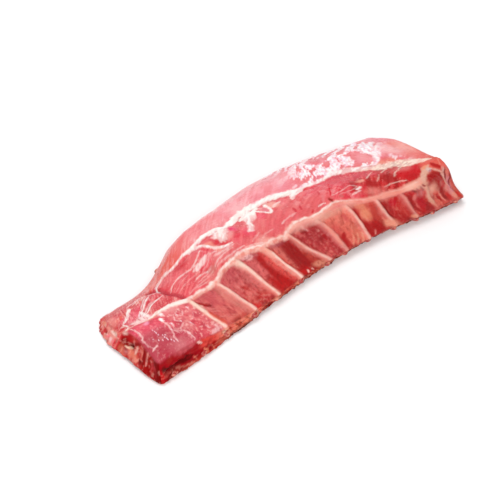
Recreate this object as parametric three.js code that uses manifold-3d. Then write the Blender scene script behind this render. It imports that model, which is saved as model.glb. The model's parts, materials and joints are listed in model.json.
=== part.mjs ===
// A slab of raw pork back ribs with the loin meat on: an arched slab lying meat side up.
// Millimetres. In the slab's own coordinates x runs from the thick end to the thin end, y from
// the row of cut rib tips over the meat to the chine edge, and z up from the resting plane.
import * as THREE from 'three';
import { mergeVertices } from 'three/addons/utils/BufferGeometryUtils.js';
import Module from 'manifold-3d';

// Driving dimensions
const SLAB_LENGTH = 450;
const NOMINAL_WIDTH = 150;
const NOMINAL_THICKNESS = 25;
const EDGE_RADIUS = 4.5;
const RIB_STATIONS = [20, 62, 98, 138, 172, 211, 252, 279, 313, 351, 382, 405, 440];
const BONE_WIDTH = 10.5;
const BONE_THICKNESS = 6.4;
const BONE_GAP = 0.3;
const BONE_SIDES = 10;
const BONE_STEPS = 7;
const BONE_PROUD = 0.5;
const CHANNEL_OVERRUN = 7;
const CHINE_EDGE_FOR_BONE = 16;
const SHORT_RIB_REACH = 0.72;
const RIDGE_HALF_WIDTH = 3.4;
const RIDGE_FLANK = 2.4;
const PANEL_DEPTH = 2.6;
const PANEL_SHARE_AT_LIP = 0.3;
const PANEL_TAPER = 0.14;
const FIRST_PANEL_RIB = 2;
const PANEL_SWELL = 2.5;
const PANEL_TUCK = 1.7;
const UNDERSIDE_RIB_RELIEF = 1.4;
const CREVICE_DEPTH = 5;
const CHINE_BULGE = 2.5;
// The middle of the slab's box, where the part's origin lies
const SLAB_MIDDLE = new THREE.Vector3(217.86, 81.31, 0);

// Places across the slab, as shares of the way from the rib tips to the chine edge
const BORDER = 0.33;
const SEAM = 0.68;
const FLAT_STRIP = 0.93;
const UNDERSIDE_LEVELS_OUT = 0.87;
const FOOT_LIFT_REACH = 0.2;
const LOIN_MIDDLE = 0.55;
const PANEL_TOP_FADES = [BORDER - 0.055, BORDER - 0.02];
const CREVICE_REACH = 0.02;

// Heights that set how strongly a shape shows, each from where it starts to where it is full
const STEEP_PANEL_RISE = 28;
const ARCH_SHOWS_RIBS = [3, 8];

// Stations that bound the lean of the ribs and the crevice at the thick end
const LEAN_EASES_IN = 40;
const CREVICE_OPENS = [0, 10];
const CREVICE_CLOSES = [25, 50];

// A smooth monotone curve through [station, value] pairs
function curveThrough(...knots) {
  const last = knots.length - 1;
  const slope = (i) => (knots[i + 1][1] - knots[i][1]) / (knots[i + 1][0] - knots[i][0]);
  const tangents = knots.map((_, i) => {
    if (i === 0) return slope(0);
    if (i === last) return slope(last - 1);
    const [before, after] = [slope(i - 1), slope(i)];
    if (before * after <= 0) return 0;
    const stepBefore = knots[i][0] - knots[i - 1][0];
    const stepAfter = knots[i + 1][0] - knots[i][0];
    const a = 2 * stepAfter + stepBefore;
    const b = stepAfter + 2 * stepBefore;
    return (a + b) / (a / before + b / after);
  });
  return (x) => {
    const at = THREE.MathUtils.clamp(x, knots[0][0], knots[last][0]);
    const i = Math.max(0, knots.findLastIndex((knot, k) => k < last && knot[0] <= at));
    return hermite(at, knots[i], knots[i + 1], tangents[i], tangents[i + 1]);
  };
}

function hermite(x, [x0, y0], [x1, y1], slope0, slope1) {
  const width = x1 - x0;
  const t = (x - x0) / width;
  const easeIn = t * t * (3 - 2 * t);
  return y0 + (y1 - y0) * easeIn + width * (t * (1 - t) ** 2 * slope0 - t * t * (1 - t) * slope1);
}

// The section's key points, each as y and z along the slab
// The upper lip of the cut rib tips, high where the thick end's muscle lies over them
const lipY = curveThrough([0, 7], [57, 9], [98, 11], [140, 10], [172, 10.5], [211, 14.5], [255, 14.5],
  [313, 11], [352, 7], [385, 1], [408, -2.5], [450, -8]);
const lipZ = curveThrough([0, 30], [30, 29], [57, 25], [80, 17], [98, 13.5], [400, 12.5], [450, 11]);
// The lower lip, which touches down at both ends and is lifted between them
const footY = curveThrough([0, -4], [60, -1], [100, 3], [136, 5.5], [160, 10.5], [200, 13], [240, 16.5],
  [307, 17.5], [342, 14], [370, 9], [398, 4], [450, 0]);
const footZ = curveThrough([0, 0], [60, 0], [100, 1.5], [150, 3], [300, 3.5], [400, 2], [425, 0], [450, 0]);
// The pale border along the upper ends of the rib panels
const borderY = curveThrough([0, 70], [32, 59], [55, 59], [78, 54], [115, 51], [133, 60], [154, 64],
  [192, 58], [227, 57], [263, 52.5], [300, 50], [340, 34], [373, 22], [400, 15.5], [440, 19]);
const borderZ = curveThrough([0, 24], [32, 31], [76, 34], [98, 36.5], [154, 41], [300, 42], [400, 41],
  [440, 44]);
// The crest of the deep muscle between the border and the fat seam
const deepZ = curveThrough([0, 23], [57, 36], [94, 41], [138, 46], [190, 47.5], [300, 49],
  [400, 49.5], [440, 51]);
// The fat seam where the loin muscle begins
const seamY = curveThrough([0, 78], [57, 85], [94, 102], [138, 124], [160, 124], [190, 117], [250, 112],
  [298, 99], [341, 88], [381, 71], [403, 63], [420, 52], [440, 44]);
const seamZ = curveThrough([0, 21], [57, 34], [94, 36], [138, 38.5], [190, 41], [250, 43.5], [341, 45],
  [400, 47], [440, 49]);
// The middle of the loin muscle
const loinZ = curveThrough([0, 16], [57, 25], [94, 31], [138, 37], [190, 40], [340, 41], [400, 41.5],
  [440, 42]);
// The shoulder above the chine edge
const chineY = curveThrough([0, 113], [40, 113], [60, 115], [78, 121], [96, 130], [118, 142], [148, 150],
  [200, 157], [255, 163], [285, 163], [330, 158], [375, 149.5], [428, 139], [450, 135]);
const chineZ = curveThrough([0, 8], [60, 11], [78, 14], [96, 18], [118, 21], [200, 25], [285, 25],
  [375, 23.5], [450, 21]);
// How high the underside arches, and its shape from the rib tips to the chine edge
const archHeight = curveThrough([0, 3], [30, 6], [60, 9], [100, 16], [140, 20], [200, 22], [400, 22],
  [450, 18]);
const archShape = curveThrough([0, 0], [0.04, 0], [0.15, 0.38], [0.3, 0.88], [0.42, 1], [0.55, 0.96],
  [0.7, 0.74], [0.84, 0.36], [0.9, 0.05], [0.92, 0], [1, 0]);

// How high the middle of a bone lies over the underside, from its tip to the chine edge
const boneHeight = curveThrough([0, 5.2], [BORDER, 8.6], [SEAM, 8.6], [1, 7.2]);

// How far the ribs lean back along the slab at the border, and how that lean grows across it
const lean = curveThrough([0, 0], [20, 8], [62, 18], [98, 25], [138, 25], [172, 18], [211, 20], [252, 23],
  [280, 15], [313, 8], [352, 11], [408, 5], [450, 2]);
const leanAcross = curveThrough([0, 0], [BORDER, 1], [SEAM, 1.35], [1, 1.5]);
// Where the two end faces stand, at their top and at their foot
const thickEndTop = curveThrough([0, -3], [0.12, 0], [0.25, 4], [0.45, 0], [0.7, -2], [1, 3]);
const thickEndFoot = curveThrough([0, -7], [0.1, -11.5], [0.35, -15], [0.6, -16], [0.85, -12], [1, 0]);
const thinEndTop = curveThrough([0, 446], [0.17, 439], [0.33, 444], [0.68, 440], [1, 431]);
const thinEndFoot = curveThrough([0, 452], [0.4, 446], [1, 431]);

const { clamp, lerp, smoothstep } = THREE.MathUtils;

// How far along the slab a point lies: columns of constant station follow the ribs
function along(station, across, rise) {
  const start = lerp(thickEndFoot(across), thickEndTop(across), rise);
  const end = lerp(thinEndFoot(across), thinEndTop(across), rise);
  const eased = clamp(station / LEAN_EASES_IN, 0, 1);
  return lerp(start, end, station / SLAB_LENGTH) - lean(station) * leanAcross(across) * eased;
}

// The upper surface, a smooth section through the lip, panel, border, crest, seam, loin and shoulder
function topPoint(station, across) {
  const x = along(station, across, 1);
  const lip = [lipY(station), lipZ(station)];
  const border = [borderY(x), borderZ(x)];
  const seam = [seamY(x), seamZ(x)];
  const chine = [chineY(x), chineZ(x)];
  const steepness = clamp((border[1] - lip[1]) / STEEP_PANEL_RISE, 0, 1);
  const tuck = PANEL_TUCK * steepness;
  const panel = [(lip[0] + border[0]) / 2 - tuck, (lip[1] + border[1]) / 2 + PANEL_SWELL];
  const crest = [(border[0] + seam[0]) / 2, deepZ(x)];
  const loin = [lerp(seam[0], chine[0], LOIN_MIDDLE), loinZ(x)];
  const points = [lip, panel, border, crest, seam, loin, chine];
  return new THREE.Vector3(x, smoothAcross(points, 0, across), smoothAcross(points, 1, across));
}

const ACROSS_KNOTS = [0, BORDER / 2, BORDER, (BORDER + SEAM) / 2, SEAM, (1 + SEAM) / 2, 1];

// One coordinate of a smooth curve through the section's key points
function smoothAcross(points, axis, across) {
  const last = ACROSS_KNOTS.length - 1;
  const width = (i) => ACROSS_KNOTS[i + 1] - ACROSS_KNOTS[i];
  const slope = (i) => (points[i + 1][axis] - points[i][axis]) / width(i);
  const tangent = (i) => {
    if (i === 0) return slope(0);
    if (i === last) return slope(last - 1);
    return (slope(i - 1) * width(i) + slope(i) * width(i - 1)) / (width(i) + width(i - 1));
  };
  const i = Math.max(0, ACROSS_KNOTS.findLastIndex((knot, k) => k < last && knot <= across));
  const knotAt = (k) => [ACROSS_KNOTS[k], points[k][axis]];
  return hermite(across, knotAt(i), knotAt(i + 1), tangent(i), tangent(i + 1));
}

// The underside: an arch over the resting plane, flat in a strip along the chine edge
function footPoint(station, across) {
  const x = along(station, across, 0);
  const lip = lipY(station);
  const chine = chineY(along(station, 1, 1));
  const share = clamp((topPoint(station, across).y - lip) / (chine - lip), 0, 1);
  const y = lerp(footY(station), chineY(x) + CHINE_BULGE, share);
  const lifted = footZ(station) * clamp(1 - share / FOOT_LIFT_REACH, 0, 1) ** 2;
  const underLoin = 1 - smoothstep(across, UNDERSIDE_LEVELS_OUT, FLAT_STRIP);
  const arched = archHeight(x) * archShape(share) * underLoin;
  return new THREE.Vector3(x, y, lifted + arched);
}

// 1 on a rib, 0 between the ribs
function ribProfile(station) {
  const nearest = Math.min(...RIB_STATIONS.map((rib) => Math.abs(station - rib)));
  return 1 - smoothstep(nearest, RIDGE_HALF_WIDTH, RIDGE_HALF_WIDTH + RIDGE_FLANK);
}

// 1 inside the sunken panels between the ribs, fading to the lip, and 0 on the ridges and the meat beyond
function panelProfile(station, across) {
  const beyondFirst = station > RIB_STATIONS[FIRST_PANEL_RIB] ? 1 : 0;
  const belowBorder = 1 - smoothstep(across, ...PANEL_TOP_FADES);
  const depth = lerp(PANEL_SHARE_AT_LIP, 1, smoothstep(across, 0, PANEL_TAPER));
  return beyondFirst * belowBorder * depth * (1 - ribProfile(station));
}

// The dark split in the thick end's cut side, between its muscle and the ribs under it
function creviceProfile(station, across, rise) {
  const lengthwise = smoothstep(station, ...CREVICE_OPENS) * (1 - smoothstep(station, ...CREVICE_CLOSES));
  const inward = 1 - smoothstep(across, 0, CREVICE_REACH);
  const level = 1 - smoothstep(Math.abs(rise - 0.5), 0.05, 0.18);
  return lengthwise * inward * level;
}

// A slow unevenness of about a millimetre that keeps the meat from looking machined
function unevenness(x, y) {
  return 0.7 * Math.sin(x / 19 + 1.3) * Math.sin(y / 15 + 0.4) + 0.5 * Math.sin(x / 9 + y / 13);
}

const PANEL_OUTWARD = new THREE.Vector3(0, -0.6, 0.8);

// A point of the slab's surface or inside, from its station, its share across and its share of the rise
function slabPoint(station, across, rise) {
  const foot = footPoint(station, across);
  const top = topPoint(station, across);
  const inset = Math.min(across, 1 - across, station / SLAB_LENGTH, 1 - station / SLAB_LENGTH);
  const aboveBorder = smoothstep(across, BORDER, BORDER + 0.1);
  top.z += unevenness(top.x, top.y) * smoothstep(inset, 0.02, 0.08) * aboveBorder;
  top.addScaledVector(PANEL_OUTWARD, -PANEL_DEPTH * panelProfile(station, across));
  const underArch = smoothstep(foot.z, ...ARCH_SHOWS_RIBS);
  foot.z -= UNDERSIDE_RIB_RELIEF * ribProfile(station) * underArch;
  const point = foot.lerp(top, rise);
  const sideways = Math.sin(Math.PI * clamp(rise, 0, 1));
  point.y += CHINE_BULGE * sideways * smoothstep(across, FLAT_STRIP, 1);
  point.y += CREVICE_DEPTH * creviceProfile(station, across, rise);
  return point;
}

// The slab's columns: on each rib, at the feet of its ridge and between the ribs
function columnStations() {
  const stations = [0, 4, 9];
  RIB_STATIONS.forEach((rib, i) => {
    const foot = RIDGE_HALF_WIDTH + RIDGE_FLANK;
    stations.push(rib - foot, rib - RIDGE_HALF_WIDTH, rib + RIDGE_HALF_WIDTH, rib + foot);
    const next = RIB_STATIONS[i + 1] ?? SLAB_LENGTH;
    if (next - rib > 25) stations.push(lerp(rib, next, 0.36), lerp(rib, next, 0.64));
    else if (next - rib > 15) stations.push((rib + next) / 2);
  });
  stations.push(SLAB_LENGTH);
  return stations;
}

const ROWS_ACROSS = [0, 0.03, 0.09, 0.17, 0.24, 0.275, 0.31, 0.36, 0.43, 0.51, 0.6, 0.68, 0.76, 0.85,
  FLAT_STRIP, 0.97, 1];
const ROWS_UP = [0, 0.3, 0.5, 0.7, 1];

// Rounds the edges of the plain block that the slab is bent from
function roundedBlockPoint(station, across, rise) {
  const size = new THREE.Vector3(SLAB_LENGTH, NOMINAL_WIDTH, NOMINAL_THICKNESS);
  const point = new THREE.Vector3(station, across, rise);
  point.y *= size.y;
  point.z *= size.z;
  const core = point.clone().clamp(
    new THREE.Vector3().setScalar(EDGE_RADIUS),
    size.clone().subScalar(EDGE_RADIUS),
  );
  const outward = point.sub(core);
  if (outward.length() > 0) outward.setLength(EDGE_RADIUS);
  const rounded = core.add(outward);
  return [rounded.x, rounded.y / size.y, rounded.z / size.z];
}

// The whole slab as a box of columns and rows, bent to shape
function slabGeometry() {
  const columns = columnStations();
  const [cols, rows, levels] = [columns.length - 1, ROWS_ACROSS.length - 1, ROWS_UP.length - 1];
  const geometry = new THREE.BoxGeometry(cols, rows, levels, cols, rows, levels);
  geometry.translate(cols / 2, rows / 2, levels / 2);
  const place = geometry.getAttribute('position');
  for (let i = 0; i < place.count; i += 1) {
    const station = columns[Math.round(place.getX(i))];
    const across = ROWS_ACROSS[Math.round(place.getY(i))];
    const rise = ROWS_UP[Math.round(place.getZ(i))];
    const point = slabPoint(...roundedBlockPoint(station, across, rise));
    place.setXYZ(i, point.x, point.y, Math.max(0, point.z));
  }
  return geometry;
}

// Whether the chine edge is thick enough for a rib to show there: at the thick end it is meat alone
function reachesChine(station) {
  return chineZ(along(station, 1, 1)) > CHINE_EDGE_FOR_BONE;
}

// A rib's centre line, from just beyond the cut tips, under the meat, to just beyond the chine edge
function ribPath(station) {
  const shares = [0, 0.07, 0.17, BORDER, 0.45, 0.6, SHORT_RIB_REACH];
  if (reachesChine(station)) shares.push(0.85, 1);
  const points = shares.map((across) => {
    const foot = footPoint(station, across);
    const top = topPoint(station, across);
    const inside = foot.lerp(top, boneHeight(across) / (top.z - foot.z));
    if (across === 1) inside.y += CHINE_BULGE;
    return inside;
  });
  const extend = (from, past) => past.clone().add(past.clone().sub(from).setLength(BONE_PROUD));
  const first = extend(points[1], points[0]);
  const last = reachesChine(station) ? extend(points.at(-2), points.at(-1)) : points.at(-1);
  return new THREE.CatmullRomCurve3([first, ...points.slice(1, -1), last], false, 'centripetal');
}

// An oval rod along a rib's centre line, its wide way along the slab, widened by the gap all round
function ribGeometry(path, gap) {
  const [firstNormal] = path.computeFrenetFrames(BONE_STEPS, false).normals;
  const normalIsLengthwise = Math.abs(firstNormal.x) > Math.abs(firstNormal.z);
  const radii = [BONE_WIDTH / 2 + gap, BONE_THICKNESS / 2 + gap];
  if (!normalIsLengthwise) radii.reverse();
  const section = new THREE.Shape();
  section.absellipse(0, 0, ...radii, 0, 2 * Math.PI);
  return new THREE.ExtrudeGeometry(section, {
    curveSegments: BONE_SIDES / 2,
    steps: BONE_STEPS,
    extrudePath: path,
    bevelEnabled: false,
  });
}

// The same rod with the gap round it and its ends drawn out past the meat, or past the bone's end inside
function channelGeometry(station) {
  const path = ribPath(station);
  const innerOverrun = reachesChine(station) ? CHANNEL_OVERRUN : BONE_GAP;
  const geometry = ribGeometry(path, BONE_GAP);
  const place = geometry.getAttribute('position');
  const vertex = new THREE.Vector3();
  const step = 1 / BONE_STEPS;
  for (const [end, next, overrun] of [[0, step, CHANNEL_OVERRUN], [1, 1 - step, innerOverrun]]) {
    const middle = path.getPointAt(end);
    const tangent = path.getTangentAt(end);
    const outward = middle.clone().sub(path.getPointAt(next)).setLength(overrun);
    for (let i = 0; i < place.count; i += 1) {
      vertex.fromBufferAttribute(place, i);
      const fromEnd = vertex.clone().sub(middle);
      if (fromEnd.length() > BONE_WIDTH || Math.abs(fromEnd.dot(tangent)) > 0.01) continue;
      vertex.add(outward);
      place.setXYZ(i, vertex.x, vertex.y, vertex.z);
    }
  }
  return geometry;
}

const wasm = await Module();
wasm.setup();

function toSolid(geometry) {
  geometry.deleteAttribute('normal');
  geometry.deleteAttribute('uv');
  const merged = mergeVertices(geometry, 1e-4);
  const vertProperties = new Float32Array(merged.getAttribute('position').array);
  const triVerts = new Uint32Array(merged.getIndex().array);
  return new wasm.Manifold(new wasm.Mesh({ numProp: 3, vertProperties, triVerts }));
}

function toGeometry(solid) {
  const mesh = solid.getMesh();
  const geometry = new THREE.BufferGeometry();
  geometry.setAttribute('position', new THREE.BufferAttribute(mesh.vertProperties, 3));
  geometry.setIndex(new THREE.BufferAttribute(mesh.triVerts, 1));
  geometry.computeVertexNormals();
  return geometry;
}

// The meat, with a channel for each rib
let meatSolid = toSolid(slabGeometry());
for (const station of RIB_STATIONS) {
  meatSolid = meatSolid.subtract(toSolid(channelGeometry(station)));
}
const meatMaterial = new THREE.MeshStandardMaterial({ color: 0xd9686f, roughness: 0.35, metalness: 0 });
const meat = new THREE.Mesh(toGeometry(meatSolid), meatMaterial);
meat.name = 'meat';

// The rib bones
const boneMaterial = new THREE.MeshStandardMaterial({ color: 0xe9c9b4, roughness: 0.5, metalness: 0 });
const bones = RIB_STATIONS.map((station, i) => {
  const bone = new THREE.Mesh(ribGeometry(ribPath(station), 0), boneMaterial);
  bone.name = `rib_${String(i + 1).padStart(2, '0')}`;
  return bone;
});

// The slab stands with the origin at the bottom centre of its box
const slab = new THREE.Group();
slab.add(meat, ...bones);
slab.position.copy(SLAB_MIDDLE).negate();

const model = new THREE.Group();
model.add(slab);

export default model;
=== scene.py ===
import json

import bpy
import numpy as np
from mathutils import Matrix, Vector

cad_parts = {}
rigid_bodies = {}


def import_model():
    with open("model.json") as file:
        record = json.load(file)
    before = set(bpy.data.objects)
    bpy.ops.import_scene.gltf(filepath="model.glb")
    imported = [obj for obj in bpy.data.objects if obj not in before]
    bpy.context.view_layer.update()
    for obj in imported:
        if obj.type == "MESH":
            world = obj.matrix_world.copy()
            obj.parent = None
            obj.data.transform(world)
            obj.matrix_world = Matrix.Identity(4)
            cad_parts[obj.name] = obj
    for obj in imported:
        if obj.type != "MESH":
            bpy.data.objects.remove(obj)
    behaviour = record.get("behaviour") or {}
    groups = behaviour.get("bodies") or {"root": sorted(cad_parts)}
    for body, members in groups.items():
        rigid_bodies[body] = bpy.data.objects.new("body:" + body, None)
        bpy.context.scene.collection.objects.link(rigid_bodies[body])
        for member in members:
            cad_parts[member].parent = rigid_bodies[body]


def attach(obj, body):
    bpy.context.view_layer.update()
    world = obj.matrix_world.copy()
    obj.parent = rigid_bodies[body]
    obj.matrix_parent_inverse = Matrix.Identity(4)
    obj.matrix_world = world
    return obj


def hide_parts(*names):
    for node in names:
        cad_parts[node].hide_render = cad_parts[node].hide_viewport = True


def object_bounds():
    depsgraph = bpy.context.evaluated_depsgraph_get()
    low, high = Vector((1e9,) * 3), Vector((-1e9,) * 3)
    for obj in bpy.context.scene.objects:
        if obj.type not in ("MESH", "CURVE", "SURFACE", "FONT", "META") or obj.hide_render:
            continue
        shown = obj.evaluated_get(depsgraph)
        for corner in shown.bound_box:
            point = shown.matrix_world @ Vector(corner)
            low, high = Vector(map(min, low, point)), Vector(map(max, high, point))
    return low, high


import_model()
CAD_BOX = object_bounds()
MM = .001

# Camera
CAMERA_AT = (-.8332, -.9387, 1.183)
CAMERA_LOOK = (.4729, .5532, -.6858)
CAMERA_LENS = 108


def add_camera():
    data = bpy.data.cameras.new("camera")
    data.lens = CAMERA_LENS
    data.sensor_width = 36
    camera = bpy.data.objects.new("camera", data)
    camera.location = CAMERA_AT
    camera.rotation_euler = Vector(CAMERA_LOOK).to_track_quat("-Z", "Y").to_euler()
    bpy.context.collection.objects.link(camera)
    bpy.context.scene.camera = camera


add_camera()

# The slab's form, as in the part but for the softer ribs of its underside
LENGTH = 450.0
WIDTH = 150.0
THICKNESS = 25.0
EDGE_RADIUS = 4.5
RIB_STATIONS = (20, 62, 98, 138, 172, 211, 252, 279, 313, 351, 382, 405, 440)
BORDER = .33
SEAM = .68
LOIN_MIDDLE = .55
UNDERSIDE_LEVELS_OUT = .87
FLAT_STRIP = .93
FOOT_LIFT_REACH = .2
CHINE_BULGE = 2.5
STEEP_PANEL_RISE = 28
PANEL_TUCK = 1.7
PANEL_SWELL = 2.5
LEAN_EASES_IN = 40
ARCH_SHOWS_RIBS = (3, 8)
UNDERSIDE_RIB_EDGES = (2.6, 6.6)
UNDERSIDE_RIB_RELIEF = 1.4
SLAB_MIDDLE = np.array((217.86, 81.31, 0))


def hermite(x, x0, x1, y0, y1, slope0, slope1):
    """A cubic between two values, with the slopes that it has there."""
    width = x1 - x0
    t = (x - x0) / width
    ease = t * t * (3 - 2 * t)
    return y0 + (y1 - y0) * ease + width * (t * (1 - t) ** 2 * slope0 - t * t * (1 - t) * slope1)


def curve(*knots):
    """A smooth monotone curve through knots, given as place, value, place, value and so on."""
    x, y = np.reshape(np.array(knots, float), (-1, 2)).T
    gap = np.diff(x)
    slope = np.diff(y) / gap
    tangent = np.zeros_like(y)
    tangent[0], tangent[-1] = slope[0], slope[-1]
    a = 2 * gap[1:] + gap[:-1]
    b = gap[1:] + 2 * gap[:-1]
    with np.errstate(divide="ignore", invalid="ignore"):
        inner = (a + b) / (a / slope[:-1] + b / slope[1:])
    tangent[1:-1] = np.where(slope[:-1] * slope[1:] > 0, inner, 0)

    def at(place):
        place = np.clip(place, x[0], x[-1])
        i = np.clip(np.searchsorted(x, place, side="right") - 1, 0, len(x) - 2)
        return hermite(place, x[i], x[i + 1], y[i], y[i + 1], tangent[i], tangent[i + 1])

    return at


def rise(x, low, high):
    """0 up to a low value and 1 from a high one, with a smooth step between."""
    t = np.clip((x - low) / (high - low), 0, 1)
    return t * t * (3 - 2 * t)


def fall(x, low, high):
    """1 up to a low value and 0 from a high one, with a smooth step between."""
    return 1 - rise(x, low, high)


def lerp(a, b, t):
    return a + (b - a) * t


lip_y = curve(0, 7, 57, 9, 98, 11, 140, 10, 172, 10.5, 211, 14.5, 255, 14.5, 313, 11, 352, 7, 385, 1,
              408, -2.5, 450, -8)
lip_z = curve(0, 30, 30, 29, 57, 25, 80, 17, 98, 13.5, 400, 12.5, 450, 11)
foot_y = curve(0, -4, 60, -1, 100, 3, 136, 5.5, 160, 10.5, 200, 13, 240, 16.5, 307, 17.5, 342, 14, 370, 9,
               398, 4, 450, 0)
foot_z = curve(0, 0, 60, 0, 100, 1.5, 150, 3, 300, 3.5, 400, 2, 425, 0, 450, 0)
border_y = curve(0, 70, 32, 59, 55, 59, 78, 54, 115, 51, 133, 60, 154, 64, 192, 58, 227, 57, 263, 52.5,
                 300, 50, 340, 34, 373, 22, 400, 15.5, 440, 19)
border_z = curve(0, 24, 32, 31, 76, 34, 98, 36.5, 154, 41, 300, 42, 400, 41, 440, 44)
deep_z = curve(0, 23, 57, 36, 94, 41, 138, 46, 190, 47.5, 300, 49, 400, 49.5, 440, 51)
seam_y = curve(0, 78, 57, 85, 94, 102, 138, 124, 160, 124, 190, 117, 250, 112, 298, 99, 341, 88, 381, 71,
               403, 63, 420, 52, 440, 44)
seam_z = curve(0, 21, 57, 34, 94, 36, 138, 38.5, 190, 41, 250, 43.5, 341, 45, 400, 47, 440, 49)
loin_z = curve(0, 16, 57, 25, 94, 31, 138, 37, 190, 40, 340, 41, 400, 41.5, 440, 42)
chine_y = curve(0, 113, 40, 113, 60, 115, 78, 121, 96, 130, 118, 142, 148, 150, 200, 157, 255, 163,
                285, 163, 330, 158, 375, 149.5, 428, 139, 450, 135)
chine_z = curve(0, 8, 60, 11, 78, 14, 96, 18, 118, 21, 200, 25, 285, 25, 375, 23.5, 450, 21)
arch_height = curve(0, 3, 30, 6, 60, 9, 100, 16, 140, 20, 200, 22, 400, 22, 450, 18)
arch_shape = curve(0, 0, .04, 0, .15, .38, .3, .88, .42, 1, .55, .96, .7, .74, .84, .36, .9, .05, .92, 0,
                   1, 0)
bone_height = curve(0, 5.2, BORDER, 8.6, SEAM, 8.6, 1, 7.2)
lean = curve(0, 0, 20, 8, 62, 18, 98, 25, 138, 25, 172, 18, 211, 20, 252, 23, 280, 15, 313, 8, 352, 11,
             408, 5, 450, 2)
lean_across = curve(0, 0, BORDER, 1, SEAM, 1.35, 1, 1.5)
thick_end_top = curve(0, -3, .12, 0, .25, 4, .45, 0, .7, -2, 1, 3)
thick_end_foot = curve(0, -7, .1, -11.5, .35, -15, .6, -16, .85, -12, 1, 0)
thin_end_top = curve(0, 446, .17, 439, .33, 444, .68, 440, 1, 431)
thin_end_foot = curve(0, 452, .4, 446, 1, 431)

ACROSS_KNOTS = np.array((0, BORDER / 2, BORDER, (BORDER + SEAM) / 2, SEAM, (1 + SEAM) / 2, 1))


def along(station, across, level):
    """How far along the slab a point lies: lines of constant station follow the ribs."""
    start = lerp(thick_end_foot(across), thick_end_top(across), level)
    end = lerp(thin_end_foot(across), thin_end_top(across), level)
    leaning = lean(station) * lean_across(across) * np.clip(station / LEAN_EASES_IN, 0, 1)
    return lerp(start, end, station / LENGTH) - leaning


def smooth_across(values, across):
    """A smooth curve through the section's key values, at each point's share across."""
    values = np.stack(values)
    width = np.diff(ACROSS_KNOTS)[:, None]
    slope = np.diff(values, axis=0) / width
    inner = (slope[:-1] * width[1:] + slope[1:] * width[:-1]) / (width[1:] + width[:-1])
    tangent = np.concatenate((slope[:1], inner, slope[-1:]))
    i = np.clip(np.searchsorted(ACROSS_KNOTS, across, side="right") - 1, 0, len(ACROSS_KNOTS) - 2)
    pick = np.arange(len(across))
    return hermite(across, ACROSS_KNOTS[i], ACROSS_KNOTS[i + 1], values[i, pick], values[i + 1, pick],
                   tangent[i, pick], tangent[i + 1, pick])


def top_point(station, across):
    """The upper surface: a section through lip, panel, border, crest, seam, loin and shoulder."""
    x = along(station, across, 1.0)
    lip = (lip_y(station), lip_z(station))
    border = (border_y(x), border_z(x))
    seam = (seam_y(x), seam_z(x))
    chine = (chine_y(x), chine_z(x))
    steepness = np.clip((border[1] - lip[1]) / STEEP_PANEL_RISE, 0, 1)
    panel = ((lip[0] + border[0]) / 2 - PANEL_TUCK * steepness, (lip[1] + border[1]) / 2 + PANEL_SWELL)
    crest = ((border[0] + seam[0]) / 2, deep_z(x))
    loin = (lerp(seam[0], chine[0], LOIN_MIDDLE), loin_z(x))
    points = (lip, panel, border, crest, seam, loin, chine)
    y, z = (smooth_across([p[axis] for p in points], across) for axis in (0, 1))
    return np.stack((x, y, z), axis=1)


def foot_point(station, across):
    """The underside: an arch over the resting plane, flat in a strip along the chine edge."""
    x = along(station, across, 0)
    lip = lip_y(station)
    one = np.ones_like(across)
    chine = chine_y(along(station, one, 1.0))
    share = np.clip((top_point(station, across)[:, 1] - lip) / (chine - lip), 0, 1)
    y = lerp(foot_y(station), chine_y(x) + CHINE_BULGE, share)
    lifted = foot_z(station) * np.clip(1 - share / FOOT_LIFT_REACH, 0, 1) ** 2
    arched = arch_height(x) * arch_shape(share) * fall(across, UNDERSIDE_LEVELS_OUT, FLAT_STRIP)
    return np.stack((x, y, lifted + arched), axis=1)


def rib_profile(station):
    """1 on a rib, 0 between the ribs."""
    nearest = np.min([np.abs(station - rib) for rib in RIB_STATIONS], axis=0)
    return fall(nearest, *UNDERSIDE_RIB_EDGES)


def unevenness(x, y):
    """A slow unevenness of about a millimetre, as in the part."""
    return .7 * np.sin(x / 19 + 1.3) * np.sin(y / 15 + .4) + .5 * np.sin(x / 9 + y / 13)


# Seeded noise
def lattice(ix, iy, iz, seed):
    """A fixed random number between 0 and 1 for each whole place."""
    h = (ix * 374761393 + iy * 668265263 + iz * 1442695041 + seed * 1274126177) & 0xFFFFFFFF
    h = ((h ^ (h >> 13)) * 1274126177) & 0xFFFFFFFF
    return ((h ^ (h >> 16)) & 0xFFFF) / 65535.0


def noise(p, seed):
    """Value noise between 0 and 1 at points of any three coordinates."""
    cell = np.floor(p).astype(np.int64)
    t = p - cell
    t = t * t * t * (t * (t * 6 - 15) + 10)
    out = 0
    for dx in (0, 1):
        wx = t[:, 0] if dx else 1 - t[:, 0]
        for dy in (0, 1):
            wy = t[:, 1] if dy else 1 - t[:, 1]
            for dz in (0, 1):
                wz = t[:, 2] if dz else 1 - t[:, 2]
                out = out + wx * wy * wz * lattice(cell[:, 0] + dx, cell[:, 1] + dy, cell[:, 2] + dz, seed)
    return out


def cloud(p, seed, octaves=3):
    """Layers of value noise, each about twice as fine as the one before and half as strong."""
    total, weight = 0, 0
    for k in range(octaves):
        share = .5**k
        total = total + share * noise(p * 2.03**k + 17.3 * k, seed + k)
        weight += share
    return total / weight


# The mesh
COLUMNS = 411
ROWS = 147
LEVELS = 19
UNDERSIDE_STEP = 3


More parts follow.
